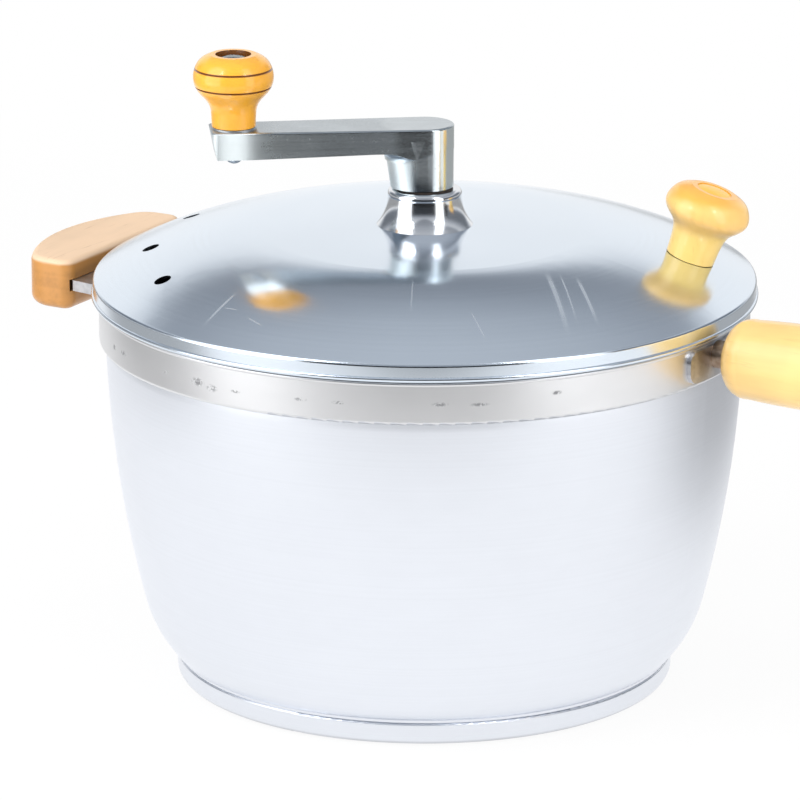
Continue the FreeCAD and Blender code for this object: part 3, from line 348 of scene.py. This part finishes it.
class PopperColours(bpy.types.PropertyGroup):
    pot: colour("Pot", "Satin aluminium of the pot wall", (0.85, 0.88, 0.94, 1.0))
    band: colour("Band", "Steel band below the rim", (0.79, 0.795, 0.81, 1.0))
    lid: colour("Lid", "Polished aluminium of the lid", (0.78, 0.855, 0.94, 1.0))
    arm: colour("Arm", "Cast metal of the crank", (0.49, 0.535, 0.565, 1.0))
    handle: colour("Long handle", "Pale lacquered wood", rgb(247, 206, 130))
    knob: colour("Knobs", "Golden lacquered wood", rgb(245, 174, 45))
    lid_knob: colour("Lid knob", "Paler golden wood", rgb(251, 205, 120))
    lid_knob_top: colour("Lid knob top", "Darker amber of the lid knob's end grain", rgb(238, 168, 56))
    grip: colour("Side grip", "Sides of the short grip", rgb(190, 133, 66))
    grip_top: colour("Side grip top", "Sanded top face of the short grip", rgb(228, 197, 165))
    # this colour also paints the shade inside the crank knob's pocket
    burnt: colour("Burnt ring", "Dark rings burnt into the knob", rgb(104, 52, 14))
    plug: colour("Plug", "Pale plug in the top of the lid knob", rgb(252, 198, 74))
    bell: colour("Bell", "Polished chrome in the middle of the lid", (0.80, 0.82, 0.85, 1.0))
    bush: colour("Bush", "Turned brass that the shaft runs in", (0.80, 0.62, 0.32, 1.0))


def sizes():
    return bpy.context.scene.popper_sizes


def colours():
    return bpy.context.scene.popper_colours


# Finishes

def tint(base, factor):
    """The colour made darker or lighter by a factor."""
    return tuple(min(1.0, part * factor) for part in tuple(base)[:3]) + (1.0,)


def spun_metal(name, base, rough, across="height", brushed=0.0, tone=0.06, painted_shadow_below=None):
    """Sheet metal spun or polished on a lathe, with rings, faint haze and, where asked, a painted
    contact shadow on its lower edge.
    """
    finish = new_finish(name)
    radius, height = around_axis(finish)[:2]
    rings = lathe_rings(finish, height if across == "height" else radius, 900.0)
    haze = finish.noise(finish.place(), 14.0, 4.0)
    cloud = finish.noise(stretch(finish, finish.place(), 1.0, 1.0, 3.0), 60.0, 3.0)
    shade = (rings * 0.5 + haze * 0.3 + cloud * 0.2).ramp(0.35, 0.65)
    surface = finish.blend(shade, tint(base, 1 - tone), tint(base, 1 + tone * 0.4))
    # painted contact shadow: the lower edge is darkened, mottled by the cloud pattern
    if painted_shadow_below:
        painted_contact_shadow = 1 - height.ramp(painted_shadow_below * 0.1, painted_shadow_below)
        surface = finish.blend(painted_contact_shadow * (cloud * 0.5 + 0.5), surface, tint(base, 0.5))
    finish.surface(
        Base_Color=surface,
        Metallic=1.0,
        Roughness=rings * 0.06 + haze * 0.06 + (rough - 0.06),
        Anisotropic=brushed,
        Normal=finish.bump(rings, 0.012, 0.0002),
    )
    return finish


def wood(name, lines_along, centre=(0.0, 0.0, 0.0)):
    """The patterns of wood whose growth lines are drawn out along X, Y or Z (0, 1 or 2)."""
    finish = new_finish(name)
    place = shifted(finish, finish.place(), *centre)
    scale = [GRAIN_FINENESS / sizes().grain] * 3
    scale[lines_along] = ALONG_GRAIN_SCALE
    grain = finish.noise(stretch(finish, place, *scale), 1.0, 5.0, 0.6)
    pores = finish.noise(stretch(finish, place, *[s * 6 for s in scale]), 1.0, 3.0, 0.7)
    figure = finish.noise(place, 38.0, 2.0)
    shade = (grain * 0.6 + figure * 0.4).ramp(0.36, 0.64)
    return finish, place, grain, pores, shade


def lacquer(finish, tone, grain, pores, rough, coat, coat_rough):
    """Gloss lacquer over wood, with the grain just felt through it."""
    finish.surface(
        Base_Color=tone,
        Roughness=grain * 0.12 + rough,
        Coat_Weight=coat,
        Coat_Roughness=coat_rough,
        Normal=finish.bump(grain + pores * 0.4, 0.05, 0.0002),
    )


# Dull and bright patches of the plain metals and the washer; the stem's brown is painted shade and a
# painted reflection of the wood, and the rivet cap's darker tones are painted shade

BRACKET_TONES = ((0.62, 0.62, 0.64, 1), (0.74, 0.74, 0.76, 1))
# the stem's brown: painted shade and a painted reflection of the wood on steel
STEM_SHADE_AND_REFLECTION_TONES = ((0.32, 0.22, 0.15, 1), (0.48, 0.37, 0.28, 1))
ZINC_TONES = ((0.58, 0.59, 0.61, 1), (0.74, 0.75, 0.77, 1))
RIVET_TAIL_TONES = ((0.55, 0.58, 0.60, 1), (0.72, 0.75, 0.77, 1))
# darker tones of the rivet cap down in the pocket: painted shade
RIVET_CAP_SHADE_TONES = ((0.25, 0.30, 0.32, 1), (0.42, 0.48, 0.51, 1))
FIBRE_TONES = (rgb(24, 20, 18), rgb(58, 46, 38))


# Pot

class POPPER_OT_pot(bpy.types.Operator):
    """Satin wall of the pot and its thick base"""
    bl_idname = "popper.pot"
    bl_label = "Pot"

    def execute(self, context):
        wall = spun_metal("pot satin", colours().pot, 0.34, "height", 0.45, 0.025)
        dress(wall, "pot_shell")
        darker = tint(colours().pot, 0.97)
        base = spun_metal("base satin", darker, 0.30, "height", 0.4, 0.03, painted_shadow_below=0.0022)
        dress(base, "base_disc")
        lathe("foot_seam", FOOT_SEAM, (0, 0, 0), "pot", base, closed=True, turns=360)
        return {"FINISHED"}


class POPPER_OT_band(bpy.types.Operator):
    """Steel band under the rim, with the scuffs of use"""
    bl_idname = "popper.band"
    bl_label = "Band"

    def execute(self, context):
        finish = new_finish("band steel")
        radius, height, direction = around_axis(finish)
        rings = lathe_rings(finish, height, 1400.0)
        smear = finish.noise(finish.join(direction * 0.118, height * 2.0, radius), 22.0, 3.0, 0.5)
        broken = finish.noise(finish.place(), 900.0, 3.0).ramp(0.40, 0.56)
        scuffs = marks(finish.split(finish.place()), 0.1182, SCUFFS) * broken
        base = colours().band
        tone = finish.blend(smear.ramp(0.36, 0.66), tint(base, 0.97), tint(base, 1.02))
        finish.surface(
            Base_Color=finish.blend(scuffs * 0.8, tone, rgb(104, 104, 108)),
            Metallic=1.0 - scuffs * 0.4,
            Roughness=rings * 0.10 + scuffs * 0.3 + 0.24,
            Anisotropic=0.5,
            Normal=finish.bump(rings + scuffs * 0.6, 0.06, 0.0002),
        )
        dress(finish, "rim_band")
        rolled_edge("band_edge_bead", *BAND_BEAD, "pot", "band_steel", finish)
        return {"FINISHED"}


# Scuffs on the band: direction in degrees, height, width and depth in mm
SCUFFS = (
    (230.3, 132.8, 1.8, 1.8),
    (234.8, 133.2, 3.2, 1.4),
    (249.5, 133.6, 2.2, 1.0),
    (257.6, 133.4, 4.4, 2.2),
    (260.9, 132.4, 3.4, 1.8),
    (266.0, 133.0, 2.6, 0.8),
    (278.6, 133.6, 3.0, 0.9),
    (285.4, 133.7, 3.2, 0.8),
    (302.6, 134.1, 3.6, 1.1),
    (309.3, 133.7, 4.2, 0.9),
    (322.8, 135.8, 2.8, 1.0),
)

# Scratches on the dome seen from above: both ends and the width in mm
SCRATCHES = (
    ((64.6, -26.8), (94.1, -62.2), 1.4),
    ((74.5, -23.1), (98.8, -49.1), 1.0),
    ((69.0, -25.0), (93.0, -54.0), 0.5),
    ((-23.7, -88.6), (-25.8, -112.0), 0.8),
    ((-12.0, -104.0), (-2.0, -108.0), 0.5),
    ((-24.0, -100.0), (-16.0, -101.0), 0.4),
    ((30.0, -60.0), (44.0, -86.0), 0.4),
    ((58.0, -70.0), (74.0, -84.0), 0.35),
)


class POPPER_OT_lid(bpy.types.Operator):
    """Polished dome of the lid"""
    bl_idname = "popper.lid"
    bl_label = "Lid"

    def execute(self, context):
        finish = new_finish("lid polish")
        radius = around_axis(finish)[0]
        rings = lathe_rings(finish, radius, 700.0)
        haze = finish.noise(finish.place(), 9.0, 4.0)
        scratches = streaks(finish.split(finish.place()), SCRATCHES)
        base = colours().lid
        patches = (haze * 0.6 + rings * 0.4).ramp(0.36, 0.64)
        tone = finish.blend(patches, tint(base, 0.96), tint(base, 1.02))
        finish.surface(
            Base_Color=finish.blend(scratches * 0.4, tone, (0.86, 0.92, 0.96, 1)),
            Metallic=1.0 - scratches * 0.10,
            Roughness=rings * 0.04 + haze * 0.05 + scratches * 0.16 + 0.12,
            Anisotropic=0.5,
            Normal=finish.bump(rings, 0.02, 0.0002),
        )
        dress(finish, "lid_dome")
        rolled_edge("lid_edge_bead", *LID_BEAD, "lid", "lid_metal", finish)
        return {"FINISHED"}


class POPPER_OT_hub(bpy.types.Operator):
    """Polished bell in the middle of the lid, with its bush and fibre washer"""
    bl_idname = "popper.hub"
    bl_label = "Hub"

    def execute(self, context):
        chrome = spun_metal("bell polish", colours().bell, 0.15, "height", 0.0, 0.04)
        dress(chrome, "hub_bell")
        brass = spun_metal("bush brass", colours().bush, 0.28, "radius", 0.2, 0.10)
        dress(brass, "hub_bush")
        fibre = new_finish("washer fibre")
        flecks = fibre.noise(fibre.place(), 1600.0, 3.0)
        fibre.surface(
            Base_Color=fibre.blend(flecks.ramp(0.4, 0.62), *FIBRE_TONES),
            Roughness=flecks * 0.2 + 0.55,
            Normal=fibre.bump(flecks, 0.2, 0.0001),
        )
        dress(fibre, "thrust_washer")
        return {"FINISHED"}


class POPPER_OT_crank(bpy.types.Operator):
    """Cast arm of the crank with its linished faces, and painted highlights along the arm and round the
    boss
    """
    bl_idname = "popper.crank"
    bl_label = "Crank"

    def execute(self, context):
        finish = new_finish("arm casting")
        place = finish.place()
        turn = -CRANK_TURN
        x, y, z = finish.split(place)
        along = x * cos(turn) - y * sin(turn)
        across = x * sin(turn) + y * cos(turn)
        brushed = finish.noise(finish.join(along * 12.0, across * 700.0, z * 700.0), 1.0, 4.0, 0.65)
        cast = finish.noise(place, 1100.0, 4.0, 0.6)
        patch = finish.noise(place, 90.0, 3.0)
        pits = finish.cells(place, 700.0).ramp(0.16, 0.05) * patch.ramp(0.55, 0.7)
        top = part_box("crank_arm")[1].z
        flank = 1 - z.ramp(top - 0.7 * MM, top - 0.1 * MM)
        tip = along.ramp(50 * MM, 79 * MM)
        lit = along.ramp(24 * MM, 76 * MM) * flank
        boss = 1 - ((along * along + across * across) ** 0.5).ramp(13.5 * MM, 17 * MM)
        rough_face_painted_light = boss * along.ramp(3.5 * MM, 6.5 * MM) * (1 - z.ramp(top - 13 * MM, top - 9.5 * MM))
        boss_back_painted_light = boss * (1 - along.ramp(-6 * MM, -1 * MM)) * flank * 0.7
        rounding = tip * tip * -0.0075
        grit = (brushed * 0.3 + cast * 0.5 - pits + cast * rough_face_painted_light * 1.5) * 0.00002
        base = colours().arm
        patches = (brushed * 0.4 + patch * 0.6).ramp(0.36, 0.66)
        tone = finish.blend(patches, tint(base, 0.92), tint(base, 1.06))
        # painted highlights: lighter towards the tip along the flank and at the back of the boss; the
        # rough face beside the boss gets the same lighter tone as painted light, while its roughness
        # and grit are its own
        tone = finish.blend((lit * 0.5).most(rough_face_painted_light).most(boss_back_painted_light), tone, tint(base, 1.9))
        finish.surface(
            Base_Color=finish.blend(pits * 0.5, tone, rgb(90, 92, 96)),
            Metallic=1.0,
            Roughness=brushed * 0.10 + cast * 0.10 + (tip * 0.2).most(rough_face_painted_light * 0.3) - boss * 0.08 + 0.15,
            Normal=finish.bump(rounding + grit, 1.0, 1.0),
        )
        dress(finish, "crank_arm")
        return {"FINISHED"}


class POPPER_OT_knobs(bpy.types.Operator):
    """Turned wooden knobs of the crank and the lid, with burnt rings and a plug"""
    bl_idname = "popper.knobs"
    bl_label = "Knobs"

    def execute(self, context):
        low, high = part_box("crank_knob")
        middle = (low + high) / 2
        foot = (middle.x, middle.y, low.z)
        finish, place, grain, pores, shade = wood("crank knob wood", 2, centre=foot)
        x, y, z = finish.split(place)
        radius = (x * x + y * y) ** 0.5
        base = colours().knob
        tone = finish.blend(shade, tint(base, 1.03), tint(base, 0.90))
        tone = finish.blend(pores.ramp(0.60, 0.75) * 0.35, tone, tint(base, 0.6))
        rings = None
        for height in BURNT_RING_HEIGHTS:
            line = 1 - abs(z - height * MM).ramp(0.26 * MM, 0.50 * MM)
            rings = line if rings is None else rings.most(line)
        rings = rings * radius.ramp(0.0105, 0.0115)
        # painted shade: the inside of the pocket gets the burnt colour as shade in the hollow; the
        # burnt rings are real
        pocket = (1 - radius.ramp(0.00644, 0.00660)) * z.ramp(0.006, 0.008)
        tone = finish.blend((rings * 0.92).most(pocket * 0.93), tone, colours().burnt)
        lacquer(finish, tone, grain, pores, 0.26, 0.7, 0.12)
        dress(finish, "crank_knob")

        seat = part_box("knob_spindle")[0].z / MM + RIVET_TAIL_IN_NODE
        self.rivet(high.z / MM, seat, middle)

        low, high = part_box("lid_knob")
        middle = (low + high) / 2
        finish, place, grain, pores, shade = wood("lid knob wood", 2, centre=middle)
        base = colours().lid_knob
        plug_low, plug_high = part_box("lid_knob_plug")
        axis = ((plug_low + plug_high) / 2 - middle).normalized()
        x, y, z = finish.split(place)
        height = x * axis.x + y * axis.y + z * axis.z
        tone = finish.blend(shade, tint(base, 1.03), tint(base, 0.88))
        amber = height.ramp(8.0 * MM, 11.5 * MM) * 0.8
        tone = finish.blend(amber, tone, colours().lid_knob_top)
        # painted light: the lower part of the lid knob, its neck, is lightened against the shade there
        tone = finish.blend(1 - height.ramp(-4.0 * MM, 1.0 * MM), tone, tint(base, 1.16))
        tone = finish.blend(pores.ramp(0.60, 0.75) * 0.3, tone, tint(base, 0.62))
        lacquer(finish, tone, grain, pores, 0.28, 0.6, 0.14)
        dress(finish, "lid_knob")

        plug, place, grain, pores, shade = wood("plug wood", 0)
        base = colours().plug
        plug.surface(
            Base_Color=plug.blend(shade, tint(base, 1.04), tint(base, 0.88)),
            Roughness=grain * 0.2 + 0.3,
            Coat_Weight=0.4,
            Normal=plug.bump(pores, 0.08, 0.0002),
        )
        dress(plug, "lid_knob_plug")
        return {"FINISHED"}

    def rivet(self, rim, seat, middle):
        """Rivet through the crank knob: a domed cap in the pocket and a rounded tail under the arm."""
        steel = new_finish("rivet steel")
        place = steel.place()
        wear = steel.noise(place, 500.0, 4.0)
        cap_shade = steel.split(place)[2].ramp((seat + 4) * MM, (rim - 8) * MM)
        tail_tone = steel.blend(wear.ramp(0.4, 0.65), *RIVET_TAIL_TONES)
        cap_shade_tone = steel.blend(wear.ramp(0.4, 0.65), *RIVET_CAP_SHADE_TONES)
        steel.surface(
            # the cap down in the pocket gets the darker tones as painted shade; the tail keeps the
            # steel's own tone
            Base_Color=steel.blend(cap_shade, tail_tone, cap_shade_tone),
            Metallic=1.0,
            Roughness=wear * 0.2 + 0.18,
            Normal=steel.bump(wear, 0.08, 0.0002),
        )
        pocket = rim - 5.9
        tail = [(3.5 * sin(radians(a)), seat - 3.2 * cos(radians(a))) for a in range(0, 91, 10)]
        shank = [(2.6, seat), (2.6, pocket), (5.5, pocket), (5.5, pocket + 3.6)]
        cap = [(5.5 * cos(radians(a)), pocket + 3.6 + 1.7 * sin(radians(a))) for a in range(10, 91, 10)]
        outline = tail + shank + cap
        made = lathe("knob_rivet", outline, (middle.x, middle.y, 0), "crank", steel)
        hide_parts("knob_spindle")


class POPPER_OT_handle(bpy.types.Operator):
    """Long pale handle and the metal that carries it"""
    bl_idname = "popper.handle"
    bl_label = "Long handle"

    def execute(self, context):
        finish, place, grain, pores, shade = wood("handle wood", 0)
        base = colours().handle
        tone = finish.blend(shade, tint(base, 1.04), tint(base, 0.88))
        tone = finish.blend(pores.ramp(0.58, 0.74) * 0.35, tone, tint(base, 0.62))
        lacquer(finish, tone, grain, pores, 0.26, 0.6, 0.14)
        dress(finish, "long_handle")

        metal = new_finish("bracket steel")
        place = metal.place()
        wear = metal.noise(place, 240.0, 4.0)
        lines = metal.noise(stretch(metal, place, 60.0, 60.0, 1400.0), 1.0, 3.0)
        metal.surface(
            Base_Color=metal.blend(wear.ramp(0.4, 0.65), *BRACKET_TONES),
            Metallic=1.0,
            Roughness=wear * 0.15 + lines * 0.1 + 0.2,
            Normal=metal.bump(lines, 0.05, 0.0002),
        )
        dress(metal, "handle_saddle", "side_plate")
        stem = new_finish("stem steel")
        wear = stem.noise(stem.place(), 300.0, 4.0)
        # brown tones on the steel stem: painted shade and a painted reflection of the wood
        stem.surface(
            Base_Color=stem.blend(wear.ramp(0.4, 0.65), *STEM_SHADE_AND_REFLECTION_TONES),
            Metallic=1.0,
            Roughness=wear * 0.2 + 0.25,
        )
        dress(stem, "handle_ferrule")
        return {"FINISHED"}


class POPPER_OT_grip(bpy.types.Operator):
    """Short wooden grip with a sanded top face"""
    bl_idname = "popper.grip"
    bl_label = "Side grip"

    def execute(self, context):
        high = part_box("side_grip")[1]
        finish, place, grain, pores, shade = wood("grip wood", 1)
        x, y, z = finish.split(place)
        side, top = colours().grip, colours().grip_top
        plies = finish.noise(finish.join(0.0, y * 6.0, z * 260.0), 1.0, 2.0)
        layers = (shade * 0.5 + plies * 0.5).ramp(0.3, 0.7)
        side_tone = finish.blend(layers, tint(side, 1.06), tint(side, 0.84))
        top_tone = finish.blend(shade, tint(top, 1.03), tint(top, 0.92))
        sanded = z.ramp(high.z - 2.2 * MM, high.z - 1.0 * MM)
        tone = finish.blend(sanded, side_tone, top_tone)
        tone = finish.blend(pores.ramp(0.60, 0.76) * 0.3, tone, tint(side, 0.6))
        finish.surface(
            Base_Color=tone,
            Roughness=grain * 0.12 + sanded * 0.2 + 0.32,
            Coat_Weight=(1 - sanded) * 0.4,
            Coat_Roughness=0.2,
            Normal=finish.bump(grain + pores * 0.5, 0.06, 0.0002),
        )
        dress(finish, "side_grip")
        return {"FINISHED"}


class POPPER_OT_fasteners(bpy.types.Operator):
    """Shaft, stirrer, collars, nuts, washers and screws"""
    bl_idname = "popper.fasteners"
    bl_label = "Shaft, stirrer and fasteners"

    def execute(self, context):
        finish = new_finish("zinc plate")
        place = finish.place()
        spangle = finish.cells(place, 420.0)
        wear = finish.noise(place, 160.0, 4.0)
        lines = finish.noise(stretch(finish, place, 300.0, 300.0, 1500.0), 1.0, 3.0)
        tone = finish.blend((wear * 0.6 + spangle * 0.4).ramp(0.3, 0.6), *ZINC_TONES)
        finish.surface(
            Base_Color=tone,
            Metallic=1.0,
            Roughness=wear * 0.2 + lines * 0.08 + 0.2,
            Normal=finish.bump(lines + wear, 0.06, 0.0002),
        )
        dress(finish, *FASTENERS)
        return {"FINISHED"}


FASTENERS = (
    "handle_washer",
    "handle_bolt",
    "side_grip_screws",
    "hub_washer",
    "knob_washer",
    "hub_nut",
    "lid_knob_screw",
    "lid_knob_washer",
    "crank_screw",
    "drive_shaft",
    "shaft_collar",
    "collar_screw",
    "stirrer_hub",
    "stirrer_screw",
    "stirrer_wire_long",
    "stirrer_wire_short",
)


# Stage

# Lamps: power in W, sizes across and up in m, and where they stand from the camera's side, as
# turn and rise in degrees and distance in m. The metal doesn't mirror the soft lamps.
SOFT_LAMPS = (
    ("key", 2.6, (0.8, 0.9), (-62, 48, 1.5)),
    ("fill", 1.8, (0.9, 1.1), (58, 35, 1.6)),
    ("front", 4.4, (1.2, 0.8), (4, 10, 1.9)),
)
GLINTS = (
    ("left glint", 1.0, (0.14, 0.26), (-40, 44, 1.4)),
    ("right glint", 0.6, (0.09, 0.22), (36, 40, 1.4)),
)

# Tall boxes that the metal mirrors as stripes: turn in degrees, width in m and power in W
TALL_BOXES = (("left box", -62, 0.54, 3.9), ("right box", 46, 0.30, 2.0))
BOX_DISTANCE = 0.66
BOX_MIDDLE = 0.67
BOX_HEIGHT = 1.3


def lamp(name, power, size, place, towards):
    """A soft rectangular lamp with its sizes across and up, that looks at a point."""
    data = bpy.data.lights.new(name, "AREA")
    data.shape = "RECTANGLE"
    data.size, data.size_y = size
    data.energy = power
    made = bpy.data.objects.new(name, data)
    bpy.context.scene.collection.objects.link(made)
    made.location = place
    made.rotation_euler = (Vector(towards) - Vector(place)).to_track_quat("-Z", "Y").to_euler()
    made.visible_camera = False
    return made


def from_camera(turn_deg, rise_deg, distance):
    """A place given by its turn from the camera's side, its rise above the floor and its distance."""
    turn = sizes().camera_turn + radians(turn_deg)
    rise = radians(rise_deg)
    return Vector((sin(turn) * cos(rise), -cos(turn) * cos(rise), sin(rise))) * distance


class POPPER_OT_stage(bpy.types.Operator):
    """Pale floor, white surroundings, soft lamps and the camera"""
    bl_idname = "popper.stage"
    bl_label = "Stage"

    def execute(self, context):
        self.floor()
        self.world(context)
        self.lamps()
        self.camera(context)
        context.scene.view_settings.view_transform = "Standard"
        return {"FINISHED"}

    def seen_from_front(self, x, y):
        """How far to the right of the pot, and how far towards the front, a place on the floor lies."""
        turn = sizes().camera_turn
        return x * cos(turn) + y * sin(turn), x * sin(turn) - y * cos(turn)

    def floor(self):
        mesh = bmesh.new()
        bmesh.ops.create_circle(mesh, cap_ends=True, segments=96, radius=9.0)
        data = bpy.data.meshes.new("floor")
        mesh.to_mesh(data)
        mesh.free()
        made = bpy.data.objects.new("floor", data)
        bpy.context.scene.collection.objects.link(made)
        made.location.z = -0.0002
        finish = new_finish("floor pale")
        paths = finish.node("ShaderNodeLightPath")
        seen = paths["Is Camera Ray"].most(paths["Is Glossy Ray"]).most(paths["Is Transmission Ray"])
        cover = finish.noise(finish.place(), 3.0, 2.0)
        tone = finish.blend(cover, (0.90, 0.90, 0.91, 1), (0.93, 0.93, 0.93, 1))
        right, towards = self.seen_from_front(*finish.split(finish.place())[:2])
        # what the metal mirrors of the table: darker beyond its front edge and at both sides
        right_side = right.ramp(0.14, 0.34) * (1 - towards.ramp(-0.10, 0.12)) * 0.60
        left_side = (1 - right.ramp(-0.50, -0.40)) * (1 - towards.ramp(0.08, 0.28)) * 0.62
        shade = (towards.ramp(0.57, 0.70) * 0.99).most(right_side).most(left_side)
        level = 1 - paths["Is Glossy Ray"] * shade
        # the glow that keeps the far floor white leaves the shadow round the pot
        far = (right * right + towards * towards).ramp(0.20, 0.80)
        glowing = seen * (far * 0.10 + 0.90)
        pale = finish.node("ShaderNodeBsdfDiffuse", None, {"Color": tone})
        glow = finish.node("ShaderNodeEmission", None, {"Color": (1, 1, 1, 1), "Strength": level})
        shaders = {0: glowing, 1: pale["BSDF"], 2: glow["Emission"]}
        mixed = finish.node("ShaderNodeMixShader", None, shaders)
        finish.node("ShaderNodeOutputMaterial", None, {"Surface": mixed["Shader"]})
        data.materials.append(finish.owner)

    def world(self, context):
        world = bpy.data.worlds.new("studio")
        context.scene.world = world
        finish = Finish(world)
        x, y, z = finish.split(finish.node("ShaderNodeTexCoord")["Generated"])
        right, towards = self.seen_from_front(x, y)
        # what the metal mirrors of the room: pale low down, grey above, dark in front and at the sides
        edge = z - (right * right * 0.9).least(0.16)
        ceiling = edge.ramp(0.36, 0.47) * (0.72 - z.ramp(0.50, 0.98) * 0.29)
        dark_front = towards.ramp(0.12, 0.34) * (1 - z.ramp(0.24, 0.46) * 0.6) * 0.96
        above_table = z.ramp(-0.02, 0.10) * (1 - z.ramp(0.30, 0.60) * 0.6)
        dark_sides = abs(right).ramp(0.48, 0.72) * above_table * 0.80
        room = 1 - ceiling.most(dark_front).most(dark_sides)
        paths = finish.node("ShaderNodeLightPath")
        mirrored = paths["Is Glossy Ray"]
        direct = paths["Is Camera Ray"].most(paths["Is Transmission Ray"])
        level = direct + (1 - direct) * (mirrored * room + (1 - mirrored) * 0.78)
        tone = finish.blend(mirrored * (1 - room), (1, 1, 1, 1), (0.84, 0.94, 1.10, 1))
        background = finish.node("ShaderNodeBackground", None, {"Color": tone, "Strength": level})
        finish.node("ShaderNodeOutputWorld", None, {"Surface": background["Background"]})

    def lamps(self):
        middle = (0, 0, 0.1)
        for name, power, size, stand in SOFT_LAMPS:
            lamp(name, power, size, from_camera(*stand), middle).visible_glossy = False
        lamp("top", 1.8, (0.7, 0.7), (0, 0.1, 1.7), middle).visible_glossy = False
        for name, power, size, stand in GLINTS:
            lamp(name, power, size, from_camera(*stand), middle)
        for name, turn, across, power in TALL_BOXES:
            centre = Vector((0, 0, BOX_MIDDLE))
            place = from_camera(turn, 0, BOX_DISTANCE) + centre
            lamp(name, power, (across, BOX_HEIGHT), place, centre)

    def camera(self, context):
        data = bpy.data.cameras.new("camera")
        made = bpy.data.objects.new("camera", data)
        context.scene.collection.objects.link(made)
        data.sensor_width = 36
        data.lens = sizes().camera_lens
        target = Vector((0, 0, LOOK_AT_HEIGHT))
        pitch = degrees(sizes().camera_height)
        back = from_camera(0, pitch, 1.0)
        made.location = target + back * sizes().camera_distance
        right = Vector((cos(sizes().camera_turn), sin(sizes().camera_turn), 0))
        up = back.cross(right)
        focal = data.lens / data.sensor_width * PICTURE_WIDTH
        across, down = (pixel - PICTURE_WIDTH / 2 for pixel in AXIS_PIXEL)
        aim = target + (up * down - right * across) * (sizes().camera_distance / focal)
        made.rotation_euler = (aim - made.location).to_track_quat("-Z", "Y").to_euler()
        data.clip_start, data.clip_end = 0.1, 30
        context.scene.camera = made


class POPPER_PT_panel(bpy.types.Panel):
    """Sizes, colours and the pieces of the popper"""
    bl_label = "Popcorn popper"
    bl_idname = "POPPER_PT_panel"
    bl_space_type = "VIEW_3D"
    bl_region_type = "UI"
    bl_category = "Popper"

    def draw(self, context):
        for group in (context.scene.popper_sizes, context.scene.popper_colours):
            box = self.layout.box()
            for name in group.__annotations__:
                box.prop(group, name)
        for step in STEPS:
            self.layout.operator(step.bl_idname)


STEPS = (
    POPPER_OT_pot,
    POPPER_OT_band,
    POPPER_OT_lid,
    POPPER_OT_hub,
    POPPER_OT_crank,
    POPPER_OT_knobs,
    POPPER_OT_handle,
    POPPER_OT_grip,
    POPPER_OT_fasteners,
    POPPER_OT_stage,
)


def register():
    for kind in (PopperSizes, PopperColours, POPPER_PT_panel) + STEPS:
        bpy.utils.register_class(kind)
    bpy.types.Scene.popper_sizes = bpy.props.PointerProperty(type=PopperSizes)
    bpy.types.Scene.popper_colours = bpy.props.PointerProperty(type=PopperColours)


def unregister():
    del bpy.types.Scene.popper_colours
    del bpy.types.Scene.popper_sizes
    for kind in reversed((PopperSizes, PopperColours, POPPER_PT_panel) + STEPS):
        bpy.utils.unregister_class(kind)


def main():
    register()
    for step in STEPS:
        group, name = step.bl_idname.split(".")
        getattr(getattr(bpy.ops, group), name)()


if __name__ == "__main__":
    main()
